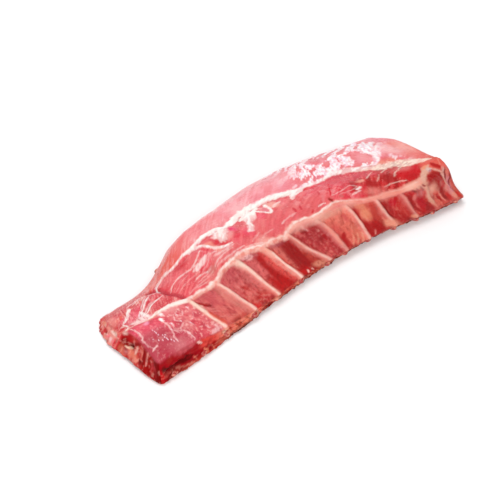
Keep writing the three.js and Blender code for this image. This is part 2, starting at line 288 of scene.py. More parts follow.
class Slab:
    """One closed skin on the surface of an index box, with its places in the slab's own shares."""

    def __init__(self):
        cols, rows, levels = COLUMNS - 1, ROWS - 1, LEVELS - 1
        used = np.zeros((COLUMNS, ROWS, LEVELS), bool)
        used[:, :, levels] = True
        used[:, (0, rows), :] = True
        used[(0, cols), :, :] = True
        coarse_cols = sorted(set(range(0, COLUMNS, UNDERSIDE_STEP)) | {cols})
        coarse_rows = sorted(set(range(0, ROWS, UNDERSIDE_STEP)) | {rows})
        used[np.ix_(coarse_cols, coarse_rows, [0])] = True
        self.ids = np.full(used.shape, -1)
        self.ids[used] = np.arange(used.sum())
        i, j, k = np.nonzero(used)
        self.s = LENGTH * i / cols
        self.v = j / rows
        self.r = k / levels
        self.quads = []
        self.grid(self.ids[:, :, levels], False)
        self.grid(self.ids[:, 0, :], False)
        self.grid(self.ids[:, rows, :], True)
        self.grid(self.ids[0, :, :], True)
        self.grid(self.ids[cols, :, :], False)
        self.polygons = []
        self.underside(coarse_cols, coarse_rows)

    def grid(self, ids, flip):
        a, b, c, d = ids[:-1, :-1], ids[1:, :-1], ids[1:, 1:], ids[:-1, 1:]
        quads = np.stack((a, b, c, d), axis=-1).reshape(-1, 4)
        self.quads.append(quads[:, ::-1] if flip else quads)

    def underside(self, cols, rows):
        last_col, last_row = cols[-1], rows[-1]
        for c0, c1 in zip(cols, cols[1:]):
            for r0, r1 in zip(rows, rows[1:]):
                low = range(c0, c1) if r0 == 0 else (c0,)
                right = range(r0, r1) if c1 == last_col else (r0,)
                high = range(c1, c0, -1) if r1 == last_row else (c1,)
                left = range(r1, r0, -1) if c0 == 0 else (r1,)
                loop = [(c, r0) for c in low] + [(c1, r) for r in right]
                loop += [(c, r1) for c in high] + [(c0, r) for r in left]
                self.polygons.append([int(self.ids[c, r, 0]) for c, r in reversed(loop)])


def rounded(s, v, r):
    """Rounds the edges of the plain block that the slab is bent from."""
    size = np.array((LENGTH, WIDTH, THICKNESS))
    point = np.stack((s, v * WIDTH, r * THICKNESS), axis=1)
    core = np.clip(point, EDGE_RADIUS, size - EDGE_RADIUS)
    outward = point - core
    length = np.linalg.norm(outward, axis=1, keepdims=True)
    unit = outward / np.maximum(length, 1e-9)
    place = np.where(length > 0, core + unit * EDGE_RADIUS, point)
    return place[:, 0], place[:, 1] / WIDTH, place[:, 2] / THICKNESS


def normals_of(points, quads):
    """Each point's outward normal, from the quads round it."""
    p = points[quads]
    face = np.cross(p[:, 2] - p[:, 0], p[:, 3] - p[:, 1])
    total = np.zeros_like(points)
    for corner in range(4):
        np.add.at(total, quads[:, corner], face)
    return total / np.maximum(np.linalg.norm(total, axis=1, keepdims=True), 1e-12)


# Each vertex's station in mm, share across and share of the height, and the face that it is on
slab = Slab()
S, V, R = rounded(slab.s, slab.v, slab.r)
W = V * WIDTH
HEIGHT = R * THICKNESS
TOP = rise(slab.r, .55, .98)
UNDER = slab.r < .02
LIP_FACE = (slab.v == 0).astype(float)
CHINE_FACE = (slab.v == 1).astype(float)
THICK_FACE = (slab.s == 0).astype(float)
THIN_FACE = (slab.s == LENGTH).astype(float)


def base_shape():
    """The slab's skin before its relief, in mm."""
    foot = foot_point(S, V)
    top = top_point(S, V)
    inset = np.minimum.reduce((V, 1 - V, S / LENGTH, 1 - S / LENGTH))
    top[:, 2] += unevenness(top[:, 0], top[:, 1]) * rise(inset, .02, .08) * rise(V, BORDER, BORDER + .1)
    foot[:, 2] -= UNDERSIDE_RIB_RELIEF * rib_profile(S) * rise(foot[:, 2], *ARCH_SHOWS_RIBS)
    points = foot + (top - foot) * R[:, None]
    points[:, 1] += CHINE_BULGE * np.sin(np.pi * np.clip(R, 0, 1)) * rise(V, FLAT_STRIP, 1)
    return points


points = base_shape()


def xyz(scale):
    """Coordinates of the plain shape in units of a scale in mm."""
    return points / scale


def slant(scale_s, scale_w, angle=0, depth=9.0):
    """Coordinates along and across the slab, turned by an angle and scaled apart, for grain."""
    a = np.radians(angle)
    u = S * np.cos(a) + W * np.sin(a)
    t = -S * np.sin(a) + W * np.cos(a)
    return np.stack((u / scale_s, t / scale_w, HEIGHT / depth), axis=1)


def warp(seed):
    """How far places wander, in mm, so that no drawn line or spot has a clean edge."""
    return 2.6 * (cloud(xyz(9.0), seed) - .5) + 1.2 * (noise(xyz(2.6), seed + 1) - .5)


WARP_S = warp(11)
WARP_W = warp(21)

# The surfaces that lines and spots are drawn on: two places in mm and what one unit of each knot stands for
UPPER = (S, W, (1.0, WIDTH))
LIP = (S, HEIGHT, (1.0, THICKNESS))
END = (W, HEIGHT, (WIDTH, THICKNESS))


def smooth_line(knots, unit, pieces=7):
    """A soft line in mm through knots, given as place, place, place, place and so on."""
    p = np.reshape(np.array(knots, float), (-1, 2)) * unit
    if len(p) < 3:
        return p
    ends = np.concatenate((2 * p[:1] - p[1:2], p, 2 * p[-1:] - p[-2:-1]))
    out = []
    for a, b, c, d in zip(ends, ends[1:], ends[2:], ends[3:]):
        for t in np.arange(pieces) / pieces:
            out.append(.5 * (2 * b + (c - a) * t + (2 * a - 5 * b + 4 * c - d) * t**2
                              + (3 * b - a - 3 * c + d) * t**3))
    out.append(p[-1])
    return np.array(out)


def line_field(knots, reach, wander=1.0, surface=UPPER):
    """Distance in mm of each point from a line, and how far along the line it is, 0 to 1."""
    line = smooth_line(knots, surface[2])
    x = surface[0] + wander * WARP_S
    y = surface[1] + wander * WARP_W
    low = line.min(0) - reach
    high = line.max(0) + reach
    near = np.nonzero((x > low[0]) & (x < high[0]) & (y > low[1]) & (y < high[1]))[0]
    distance = np.full(len(S), 1e3)
    share = np.zeros(len(S))
    if not len(near):
        return distance, share
    q = np.stack((x[near], y[near]), axis=1)
    best = np.full(len(near), 1e3)
    where = np.zeros(len(near))
    steps = len(line) - 1
    for n in range(steps):
        a, b = line[n], line[n + 1]
        d = b - a
        t = np.clip(((q - a) @ d) / max(d @ d, 1e-9), 0, 1)
        gap = np.linalg.norm(q - a - t[:, None] * d, axis=1)
        closer = gap < best
        best[closer] = gap[closer]
        where[closer] = (n + t[closer]) / steps
    distance[near] = best
    share[near] = where
    return distance, share


RAGGED = cloud(xyz(4.5), 31)
FRAYED = cloud(slant(9, 1.9, 34), 32)


def stroke(knots, width, soft=.6, wander=.7, taper=.18, fray=0, surface=UPPER):
    """1 on a drawn line of a given width in mm, tapering at its ends, 0 away from it."""
    half = width / 2
    distance, share = line_field(knots, half * 2.4 + soft * 2 + 3, wander, surface)
    ends = rise(np.minimum(share, 1 - share), -.02, taper)
    reach = half * (.3 + .7 * ends) * (.45 + 1.1 * RAGGED)
    mark = fall(distance, reach * .5 - .3 * soft, reach * 1.15 + soft)
    return mark * (1 - fray * rise(.56 - FRAYED, 0, .14))


def threads(p, seed, width):
    """Thin curling lines where a noise passes its middle value."""
    return fall(np.abs(cloud(p, seed, 2) - .5), 0, width)


def spot(centre, radii, angle=0, soft=.45, wander=1.0, surface=UPPER):
    """1 inside an oval of radii in mm round a place, with a soft edge."""
    a = np.radians(angle)
    x = surface[0] + wander * WARP_S - centre[0] * surface[2][0]
    y = surface[1] + wander * WARP_W - centre[1] * surface[2][1]
    u = (x * np.cos(a) + y * np.sin(a)) / radii[0]
    t = (-x * np.sin(a) + y * np.cos(a)) / radii[1]
    distance = np.sqrt(u * u + t * t) + .5 * (RAGGED - .5)
    return fall(distance, 1 - soft, 1 + soft)


def band(low, high, x, soft):
    """1 between two values, with soft ends."""
    return rise(x, low - soft, low + soft) * fall(x, high - soft, high + soft)


# Zones of the upper face
# The crests between the panels: station at the rib tips, half way up and at the border, half width, paleness
RIDGES = (
    (96.5, 97, 99.5, 2.4, 1), (138.6, 139, 137, 1.5, .75), (173.2, 172, 167.5, 2.8, .8),
    (211, 210.5, 207, 2.5, .9), (255, 249.5, 244.5, 2.8, .5), (279, 284, 278.5, 2.2, .2),
    (312.5, 318, 314.5, 2.2, .5), (351, 353.5, 351.5, 2.2, .45), (380, 383.5, 380, 1.2, .16),
    (410, 409, 408, 3, 0), (441, 439, 431, 2.2, 0),
)
PANEL_DEPTH = 2.6
PANEL_SHARE_AT_LIP = .3

ridge_wander = 1.8 * (cloud(slant(9, 12), 41) - .5)
above = np.clip(V / BORDER, 0, 1)
ridge_distance = np.full(len(S), 1e3)
ridge_signed = np.full(len(S), 1e3)
ridge_pale = np.zeros(len(S))
for tip, middle, border, half, pale in RIDGES:
    centre = curve(0, tip, .5, middle, 1, border)(above)
    d = S + ridge_wander - centre
    scaled = np.abs(d) - half
    closer = scaled < ridge_distance
    ridge_distance = np.where(closer, scaled, ridge_distance)
    ridge_signed = np.where(closer, d, ridge_signed)
    ridge_pale = np.where(closer, pale, ridge_pale)
flank = np.where(ridge_signed < 0, 6.5, 4.0) * (.6 + .8 * cloud(slant(14, 12), 42))
RIDGE = fall(ridge_distance + 1.4, 0, flank)
crest_reach = 2.1 * (.35 + 1.3 * cloud(slant(30, 8), 44))
RIDGE_CREST = fall(np.abs(ridge_signed), .3 * crest_reach, .5 + 1.25 * crest_reach)

border_wave = .012 * (cloud(slant(9, 30), 43) - .5)
BELOW_BORDER = fall(V + border_wave, BORDER - .02, BORDER + .01)
BEYOND_BLOCK = rise(S + ridge_wander, 98.0, 101.0)
PANEL = BEYOND_BLOCK * BELOW_BORDER * (1 - RIDGE) * fall(S, 444, 448)
BLOCK = fall(S + ridge_wander, 95.0, 99.0) * fall(V, .31, .345)

seam_line = curve(0, .7, 20, .71, 46, .76, 92, .75, 104, .765, 120, .72, 133, .675, 150, .62, 160, .6,
                  185, .62, 205, .62, 222, .66, 245, .685, 280, .67, 305, .655, 345, .69, 372, .695,
                  388, .685, 404, .672, 428, .655, 450, .645)
OVER_SEAM = rise(V + .012 * (RAGGED - .5), seam_line(S) - .005, seam_line(S) + .012)

# Fat, as drawn strands
FAT_STRANDS = (
    # the seam between loin and deep muscle, from the thick end
    (5.6, 1, 11, .672, 20, .7, 30, .73, 40, .752, 48, .778), (7, .9, 11, .675, 16, .69, 24, .712),
    (2.6, .85, 93, .635, 95, .68, 98, .715, 104, .742, 112, .75),
    (7.5, .7, 99, .735, 108, .752, 118, .742, 126, .706),
    (4, 1, 118, .735, 126, .698, 134, .676, 143, .655, 151, .622, 158, .6, 166, .606, 176, .617, 187, .622,
     198, .618, 203, .606),
    (3.4, 1, 149, .63, 156, .597, 161, .552, 164, .505, 168, .465, 176, .44, 186, .443),
    (12, .95, 178, .49, 184, .52, 190, .555, 196, .585, 204, .605), (6, .8, 176, .56, 180, .53, 184, .5),
    (4.5, .9, 178, .604, 188, .608, 200, .612), (3.4, .95, 203, .604, 209, .622, 216, .65, 224, .675),
    (6.4, 1, 213, .475, 220, .487, 226, .53, 232, .572, 240, .602, 251, .622),
    (8, 1, 213, .612, 221, .652, 231, .678, 244, .686, 256, .688, 270, .682, 281, .674, 291, .66, 304,
     .664), (4.6, .95, 226, .617, 238, .628, 250, .636, 258, .655), (3, .9, 231, .64, 240, .65, 249, .655),
    (2.6, 1, 251, .652, 252.5, .6, 255, .555, 258, .53, 261, .56, 262.5, .61, 264, .65),
    (3.4, .9, 283, .565, 286, .59, 289, .62, 294, .65), (2.2, .8, 284, .64, 290, .612, 297, .64, 303, .66),
    (3, .6, 265, .56, 269, .585, 274, .595),
    (4.2, .95, 298, .662, 314, .676, 326, .684, 338, .694, 350, .704),
    (8, 1, 346, .712, 357, .7, 368, .686, 380, .672, 390, .66),
    (13, 1, 406, .59, 418, .588, 430, .59, 440, .585), (7, .9, 181, .475, 182, .52, 183, .57, 186, .6),
    (7, 1, 187, .56, 194, .585, 201, .602), (9, .75, 228, .568, 237, .588, 247, .604),
    (13, 1, 379, .664, 392, .655, 404, .645, 418, .622, 432, .6, 440, .575),
    (8, .9, 402, .655, 416, .65, 430, .64, 440, .61),
    # the arcs over the thick end's curled muscle
    (3.6, 1, 50, .575, 57, .62, 65, .668, 73, .7, 84, .728),
    (2.2, .8, 55, .655, 62, .7, 70, .728, 78, .748), (1.3, .55, 52, .62, 60, .672, 68, .72, 74, .748),
    (3.8, 1, 48, .46, 53, .495, 60, .53, 67, .55, 77, .555, 89, .54),
    (2, .7, 50, .505, 56, .548, 62, .575, 70, .59, 79, .588),
    (1.6, .5, 52, .545, 60, .585, 67, .604, 74, .61),
    (6, .95, 49.5, .62, 48.5, .56, 47.5, .5, 46, .44, 43.5, .375), (8, .6, 38, .5, 34, .43, 31, .37),
    (8, .45, 26, .46, 22, .41, 18, .365), (6, .45, 16, .44, 13, .4, 11, .365),
    (2, .95, 9, .7, 8.5, .6, 7.5, .5, 6, .42, 4, .35), (1, .5, 4.5, .66, 4, .55, 3.5, .45),
    (2, .85, 94.5, .7, 95, .665, 94.5, .635), (1.4, .5, 84, .755, 88, .7, 92, .655),
    (3.4, .8, 48, .83, 58, .845, 68, .835, 78, .815), (2.4, .8, 56, .8, 66, .815, 76, .8, 83, .78),
    (1.8, .6, 60, .765, 70, .785, 80, .775),
    # stripes of the deep muscle just past the thick end
    (1.9, .56, 98, .49, 104, .528, 111, .55, 119, .556, 127, .545, 135, .525, 146, .505),
    (6, .75, 135, .492, 145, .49, 154, .486), (1.8, .59, 136, .518, 143, .528, 150, .535, 157, .545),
    (1.5, .56, 148, .484, 154, .48, 159, .472), (1.7, .62, 124, .425, 131, .436, 138, .434, 144, .424),
    (1.5, .27, 106, .36, 120, .382, 134, .392, 147, .398),
    (1.2, .27, 100, .42, 110, .447, 121, .462, 140, .462), (1.2, .31, 139, .442, 150, .452, 160, .455),
    (1.2, .5, 150, .47, 158, .462, 165, .452), (1.1, .21, 99, .445, 108, .475, 117, .5, 128, .508),
    (1, .37, 112, .372, 124, .372, 136, .366), (1, .37, 126, .405, 138, .412, 150, .424),
    (1.5, .46, 151, .4, 166, .402, 180, .407), (1.8, .46, 152, .383, 166, .372, 181, .378, 192, .384),
    (2.4, .46, 158, .435, 166, .424, 174, .415, 186, .43), (1.8, .62, 172, .352, 183, .359, 193, .356),
    (1.4, .37, 190, .372, 200, .366, 212, .362), (1.4, .31, 204, .392, 212, .412, 222, .428),
    (1.5, .28, 214, .378, 228, .402, 240, .405), (1.2, .5, 253, .412, 262, .425, 272, .437),
    (1.4, .7, 292, .412, 297, .417, 300, .411),
    (1.2, .44, 312, .444, 322, .452, 334, .47, 343, .492, 352, .465),
    (1, .39, 318, .43, 330, .432, 341, .446, 348, .47), (1.8, .85, 343, .437, 348, .45, 353, .464),
    (1.3, .6, 333, .402, 340, .412, 347, .428), (1.6, .6, 385, .56, 391, .59, 396, .61),
    (1.2, .5, 367, .53, 374, .57, 380, .6), (1, .3, 371, .47, 377, .51, 382, .555),
    (1.6, .45, 389, .47, 394, .51, 399, .535), (1.8, .5, 399, .52, 404, .56, 411, .585),
    (1.2, .5, 371, .412, 384, .425, 396, .418),
)
fat = np.zeros(len(S))
strand_field = np.zeros(len(S))
for width, strength, *knots in FAT_STRANDS:
    mark = stroke(knots, width, soft=.7 if width > 3.5 else .45, fray=.45 if width > 4 else .35)
    fat = np.maximum(fat, strength * mark)
    strand_field = np.maximum(strand_field, mark * min(1.0, width / 3))

# the pale border over the panels and round the thick end's muscle
BORDER_LINE = curve(0, .335, 25, .34, 45, .345, 60, .358, 72, .348, 95, .334, 112, .334, 130, .338,
                    145, .35, 160, .338, 175, .343, 190, .35, 205, .343, 225, .34, 240, .328, 253, .352,
                    263, .374, 280, .362, 292, .37, 305, .386, 316, .37, 326, .354, 340, .34, 352, .345,
                    365, .35, 378, .356, 392, .366, 404, .38, 416, .41, 426, .462, 440, .5)
border_offset = W + .9 * WARP_W - BORDER_LINE(S) * WIDTH
BORDER_WIDTH = curve(0, 3.4, 7, .3, 22, .3, 34, 2.2, 55, 4.4, 80, 4.6, 98, 4.4, 112, 3.6, 140, 3.6,
                     172, 4.4, 215, 5, 250, 5, 280, 4, 310, 4.6, 335, 5, 360, 5, 400, 6, 415, 5, 440, 3)
border_gap = np.abs(border_offset + 1.2)
BORDER_FAT = fall(border_gap, BORDER_WIDTH(S) * .2, BORDER_WIDTH(S) * (.7 + .7 * RAGGED))
border_line_width = curve(0, 1.8, 7, .2, 22, .2, 40, 1.2, 55, 3.4, 85, 3.2, 96, 1.6, 115, 1.5, 150, 1.2,
                          200, 1, 235, .9, 262, 1.3, 310, 1.1, 330, .7, 450, .7)(S) * (.25 + 1.5 * RAGGED)
border_bright = curve(0, .8, 40, 1, 92, 1, 104, .7, 130, .75, 170, .9, 200, .8, 236, .45, 248, .6, 262, .9,
                      312, .85, 326, .35, 350, .15, 400, .2, 412, 0, 450, 0)(S)
border_bright = border_bright * (.55 + .45 * rise(FRAYED, .36, .56))
BORDER_CREST = fall(np.abs(border_offset - .4), border_line_width * .45, border_line_width + .7)
BORDER_CREST = BORDER_CREST * border_bright

# Relief, in mm along the outward normal
PANEL_TAPER = .14
CREST_HEIGHT = .25
BORDER_FAT_HEIGHT = .2
SEAM_VALLEY_DEPTH = 1.1
STRAND_HEIGHT = .4
BLOCK_VALLEY_DEPTH = 2.6
GROOVE_WIDTH = 2.6
THICK_END_HOLE_DEPTH = 2.4
CREVICE_DEPTH = 3.0
UNDERSIDE_LUMP_HEIGHT = .8
VEIN_HEIGHT = .3

relief = -PANEL_DEPTH * PANEL * lerp(PANEL_SHARE_AT_LIP, 1.0, rise(V, 0, PANEL_TAPER))
relief += CREST_HEIGHT * RIDGE_CREST * BELOW_BORDER * (.4 + .9 * cloud(slant(5, 9), 53)) * BEYOND_BLOCK
relief += BORDER_FAT_HEIGHT * BORDER_FAT * TOP
beside_seam = fall(np.abs(W - (seam_line(S) * WIDTH - 3.5)), 0, 3.2)
relief -= SEAM_VALLEY_DEPTH * beside_seam * rise(S, 90, 130) * fall(S, 300, 345)
relief += STRAND_HEIGHT * strand_field * TOP
valley, _ = line_field((88, .79, 92, .74, 96, .68, 95.5, .6, 95, .5, 98, .4, 98.5, .365), 9, .6)
VALLEY = fall(valley, .4, 4.6)
relief -= BLOCK_VALLEY_DEPTH * VALLEY
# grooves: depth in mm and knots
for depth, *knots in (
    (1.3, 50, .66, 58, .695, 66, .735, 74, .775), (1.1, 51, .555, 59, .595, 69, .64, 80, .675),
    (1, 51, .5, 58, .552, 66, .578, 78, .588, 89, .575), (.8, 100, .487, 108, .515, 116, .535, 130, .522),
    (1.4, 308, .395, 308, .425), (.7, 314, .44, 320, .5, 327, .59),
    (.9, 150, .61, 156, .57, 158, .53, 162, .475, 168, .44), (.9, 166, .52, 171, .49, 177, .5),
    (.8, 180, .462, 188, .49, 196, .53, 205, .56), (.8, 216, .465, 224, .48, 231, .52, 240, .565, 252, .58),
    (1.5, 104, .275, 106, .24, 109, .205),
):
    relief -= depth * stroke(knots, GROOVE_WIDTH, soft=1.6) * TOP
cuts = 1 - TOP
relief -= THICK_END_HOLE_DEPTH * THICK_FACE * cuts * spot((.25, .57), (3, 2.4), surface=END)
# unevenness by zone: its height in mm, its pattern and the pattern's value that stays level
meat_above = TOP * rise(V, .36, .42)
for zone, height, pattern, level in (
    (PANEL * rise(ridge_distance, 3, 12), 1.3, cloud(slant(10, 16), 51), .1),
    (PANEL, .7, cloud(slant(3.4, 7, 14), 52), .5),
    (meat_above, .6, cloud(slant(16, 5.5, 32), 55), .5),
    (meat_above, .45, cloud(xyz(3.4), 54), .5),
    (TOP * OVER_SEAM, .9, cloud(slant(22, 8, 50), 56), .5),
    (TOP * BLOCK, .8, cloud(slant(10, 10), 57), .5),
    (TOP * BLOCK, .35, cloud(xyz(2.8), 58), .5),
    (cuts * LIP_FACE, 2.6, cloud(xyz(3.6), 61), .6),
    (cuts * LIP_FACE, 2.2, cloud(xyz(9), 67), .5),
    (cuts * THICK_FACE, 2, cloud(slant(9, 4.2, 0, 26), 62), .5),
    (cuts * THICK_FACE * rise(V, .55, .75), 3, cloud(xyz(4), 68), .55),
    (cuts * (CHINE_FACE + THIN_FACE), 1.4, cloud(xyz(5), 63), .5),
):
    relief += zone * height * (pattern - level)
crevice = rise(S, 3, 12) * fall(S, 25, 50) * LIP_FACE
crevice_level = curve(0, .36, 40, .46, 90, .4)(S) + .16 * (cloud(xyz(7), 65) - .5)
CREVICE = crevice * fall(np.abs(slab.r - crevice_level), .02, .13) * rise(cloud(xyz(9), 64), .22, .42)
relief += UNDERSIDE_LUMP_HEIGHT * UNDER * (cloud(xyz(13), 66) - .5) * rise(points[:, 2], 1.0, 6.0)

# Colours
LIGHT = 1.2
GLOSS = .02


def linear(rgb):
    """The base colour that looks like a given sRGB colour under this light and wet shine."""
    c = np.array(rgb, float) / 255
    c = np.where(c <= .04045, c / 12.92, ((c + .055) / 1.055) ** 2.4)
    return np.clip((c - GLOSS) / LIGHT, .002, .9)


paint = np.tile(linear((214, 100, 102)), (len(S), 1))


def lay(colour, mask):
    """Lays a colour over what is painted so far."""
    global paint
    mask = np.clip(mask, 0, 1)[:, None]
    paint = paint * (1 - mask) + linear(colour) * mask


def lay_all(zone, rows):
    """Lays colours over a zone one after another; a row is red, green, blue and strength."""
    for *colour, strength in rows:
        lay(colour, zone * strength)


def lay_spots(zone, rows, soft=.45, wander=1.0, surface=UPPER):
    """Lays spots; a row is place, place, radius, radius, red, green, blue, strength and any angle."""
    for x, y, length, width, red, green, blue, strength, *angle in rows:
        mark = spot((x, y), (length, width), *angle, soft=soft, wander=wander, surface=surface)
        lay((red, green, blue), zone * mark * strength)


def lay_strokes(zone, rows, soft=.6, wander=.7, surface=UPPER):
    """Lays lines; a row is width, red, green, blue, strength and the knots."""
    for width, red, green, blue, strength, *knots in rows:
        mark = stroke(knots, width, soft, wander, surface=surface)
        lay((red, green, blue), zone * mark * strength)


GRAIN = cloud(slant(26, 2.1, 36), 71)
GRAIN_LOIN = cloud(slant(24, 2.2, 46), 72)
GRAIN_FAR = cloud(slant(20, 1.9, 58), 73)
PATCHES = cloud(xyz(22), 74)
PATCHES_FINE = cloud(xyz(7), 75)
DUST = cloud(xyz(2.6), 79)

# loin
lay_all(OVER_SEAM, (
    (238, 118, 120, 1),
    (242, 134, 140, rise(S, 135, 185)),
    (246, 156, 164, rise(S, 200, 240)),
    (232, 92, 74, fall(S, 126, 178) * .95),
    # painted highlight: lighter towards the chine edge past station 150, where the shoulder turns to the
    # light
    (247, 168, 174, rise(V, .88, .98) * rise(S, 150, 200) * .45),
    (249, 176, 178, rise(GRAIN_LOIN, .5, .68) * .35),
    (234, 112, 120, rise(.5 - GRAIN_LOIN, .02, .2) * .45),
    (252, 214, 212, threads(slant(18, 3.4, 44), 88, .016) * rise(PATCHES_FINE, .42, .6) * .5),
))
lay_spots(OVER_SEAM, (
    (298, .735, 14, 7, 240, 128, 142, .7, 20), (268, .745, 5, 6, 238, 120, 134, .5, 50),
    (230, .76, 22, 7, 244, 140, 150, .45, 12),
))
far_loin = rise(S + 12 * (PATCHES - .5), 286, 318) * OVER_SEAM
lay_all(far_loin, (
    (232, 104, 108, .75),
    (238, 132, 146, rise(PATCHES, .45, .6) * .8),
))
# the wet shine of the far loin, made wider or narrower at places
SHEEN = cloud(slant(15, 4, 28), 120)
SHEEN_FINE = cloud(slant(7, 1.5, 34), 121, 2)
for along_slab, across, length, width, angle, push in (
    (317, .8, 10, 7, 20, .1), (342, .79, 13, 8, 10, .1), (376, .78, 9, 9, 30, .08),
    (405, .83, 9, 11, 10, .14), (425, .85, 10, 8, 20, .08), (352, .935, 14, 8, 30, .1),
    (410, .95, 14, 8, 30, .1), (331, .8, 12, 3.4, 42, -.13), (358, .785, 4.6, 9, 10, -.15),
    (362, .895, 15, 4.4, 46, -.16), (391, .8, 7, 10, 10, -.18), (406, .7, 10, 4, 0, -.2),
    (420, .775, 8, 5, 10, -.15), (334, .685, 9, 3, 0, -.14), (340, .905, 18, 5, 36, -.1),
    (360, .87, 11, 8, 20, -.22),
):
    SHEEN = SHEEN + push * spot((along_slab, across), (length, width), angle)
sheen = rise(SHEEN + .45 * (SHEEN_FINE - .5), .45, .54)
sheen = sheen * (1 - .8 * rise(S, 424, 440)) * (1 - .35 * rise(S, 408, 422) * fall(V, .78, .84))
lay_all(far_loin, (
    (254, 236, 242, sheen * .96),
    (228, 92, 104, (1 - sheen) * spot((362, .895), (15, 4.4), 46) * .8),
))
lay_spots(OVER_SEAM, ((407, .695, 11, 4.5, 236, 128, 108, .9),))
lay_all(far_loin, (
    (255, 250, 250, rise(SHEEN + .5 * (SHEEN_FINE - .5), .54, .63) * fall(S, 416, 434) * .9),
    (226, 88, 96, rise(.5 - SHEEN_FINE, .06, .2) * (1 - sheen) * .5),
    (246, 176, 206, sheen * rise(cloud(slant(3.4, 1.5, 34), 125), .54, .66) * .55),
    (238, 126, 134, sheen * rise(.5 - cloud(slant(4, 1.6, 38), 126), .08, .18) * .55),
))
# painted highlight: pale streaks of sheen along the loin's shoulder, between stations 146 and 232
shoulder_sheen = rise(cloud(slant(30, 3.4, 58), 122), .5, .64)
lay_all(OVER_SEAM, (
    (232, 108, 96, rise(S, 412, 436) * fall(V, .8, .9) * .75),
    (250, 214, 212, shoulder_sheen * band(146, 232, S + 60 * (V - .9), 14) * rise(V, .8, .88) * .45),
))

# deep muscle
under_seam = (1 - OVER_SEAM) * rise(V, .33, .36)
lay_all(under_seam, (
    (230, 78, 86, 1),
    (234, 78, 94, band(100, 350, S, 30) * rise(PATCHES, .3, .6) * .8),
    (242, 138, 136, rise(GRAIN, .5, .68) * .4),
    (214, 58, 70, rise(.5 - GRAIN, 0, .16) * .6),
    (206, 46, 58, rise(.5 - cloud(slant(12, 1.8, 30), 123), .05, .2) * .45),
    (250, 190, 182, threads(slant(16, 2.6, 26), 89, .016) * fall(S, 150, 190) * .4),
    (248, 176, 170, threads(slant(18, 4.2, 34), 90, .014) * rise(PATCHES_FINE, .45, .62) * .55),
    (248, 168, 172, rise(PATCHES_FINE, .54, .68) * band(262, 345, S, 20) * .35),
    (240, 150, 146, band(212, 312, S, 14) * fall(V, .5, .58) * .3),
    (246, 172, 170, band(164, 206, S, 8) * fall(V, .42, .47) * .2),
    (246, 160, 156, band(100, 140, S, 8) * .14),
    (224, 58, 78, rise(S, 300, 340) * rise(V, .5, .58) * .8),
))
far = rise(S + 26 * (PATCHES - .5), 330, 372) * fall(S, 420, 432)
upper_far = rise(V, .53, .58) * fall(S, 376, 392)
lay_all(under_seam, (
    (198, 26, 40, far * .9),
    (218, 62, 82, far * upper_far * .9),
    (230, 100, 98, far * rise(GRAIN_FAR, .54, .68) * .5),
    (160, 10, 24, far * rise(.5 - GRAIN_FAR, 0, .14) * (.75 - .45 * upper_far)),
    (246, 178, 166, far * threads(slant(10, 2.4, 60), 91, .02) * .4),
    (246, 178, 166, far * threads(slant(12, 3.0, -28), 92, .014) * .25),
    (230, 104, 92, rise(S, 415, 427) * .95),
))
lay_strokes(under_seam, ((2, 222, 36, 56, .95, 311, .45, 314, .48, 319, .53, 327, .605),), soft=.5)
lay_spots(TOP, (
    (348, .5, 3, 9, 158, 16, 28, .6, -35), (366, .47, 6, 5, 166, 18, 30, .6),
    (384, .48, 8, 7.5, 164, 10, 26, .75, 20), (397, .58, 8, 6, 196, 20, 36, .95, 35),
    (307, .412, 2, 4.4, 170, 8, 22, .95), (343, .45, 6, 2.4, 178, 18, 32, .8, 50),
    (364, .455, 5, 6, 178, 22, 36, .8, 30), (273, .465, 1.2, 3.4, 206, 42, 58, .8, -8),
    (279, .465, 1.2, 4, 206, 42, 58, .8, -20), (284, .395, 1.2, 3, 208, 40, 52, .8, -40),
    (304, .525, 1.2, 4.5, 210, 44, 60, .8, -25), (240, .622, 9, 1.8, 236, 130, 130, .8, 2),
    (99, .69, 2, 5, 184, 30, 42, .8, 20), (267, .595, 4.5, 8, 246, 178, 162, .7),
    (276, .6, 6, 4, 234, 96, 102, .7), (122, .62, 5, 5, 228, 60, 76, .6),
    (359, .52, 4.6, 2.2, 244, 170, 150, .7, 12), (382, .6, 4, 6, 204, 44, 50, .7, 30),
    (408, .51, 14, 4.5, 216, 40, 54, .85, 4), (406, .457, 14, 7.5, 208, 24, 46, .9, 4),
    (405, .44, 7, 3.4, 178, 6, 22, .4, 4), (386, .59, 3, 5, 196, 34, 42, .6),
    (372, .6, 3, 10, 206, 44, 58, .6, -20), (204, .568, 6, 6, 236, 52, 102, .9, 20),
    (213, .47, 8, 6, 240, 92, 112, .6, 30), (246, .56, 6, 8, 240, 84, 104, .6, 30),
    (168, .5, 5, 11, 240, 146, 132, .9, 10), (189, .54, 10, 10, 246, 178, 172, .6),
    (169.5, .57, 5.6, 4, 230, 84, 92, 1, -6), (173, .5, 3.4, 7, 218, 66, 76, .95, 5),
    (190, .588, 6.5, 1.8, 240, 140, 132, .8, -8), (257.5, .605, 3.6, 8, 232, 122, 130, 1, 5),
    (257.5, .625, 1.6, 3, 248, 180, 176, .6, 5), (154, .57, 4.5, 3, 224, 50, 74, .8, -30),
    (133, .625, 7, 4.4, 206, 44, 56, .65, -20), (140, .6, 5, 3, 214, 54, 66, .6, -30),
    (445, .6, 3, 12, 214, 84, 62, .7), (125, .382, 3.5, 1.8, 200, 100, 94, .6),
    (147, .408, 5, 3.4, 196, 94, 90, .75, -30),
))

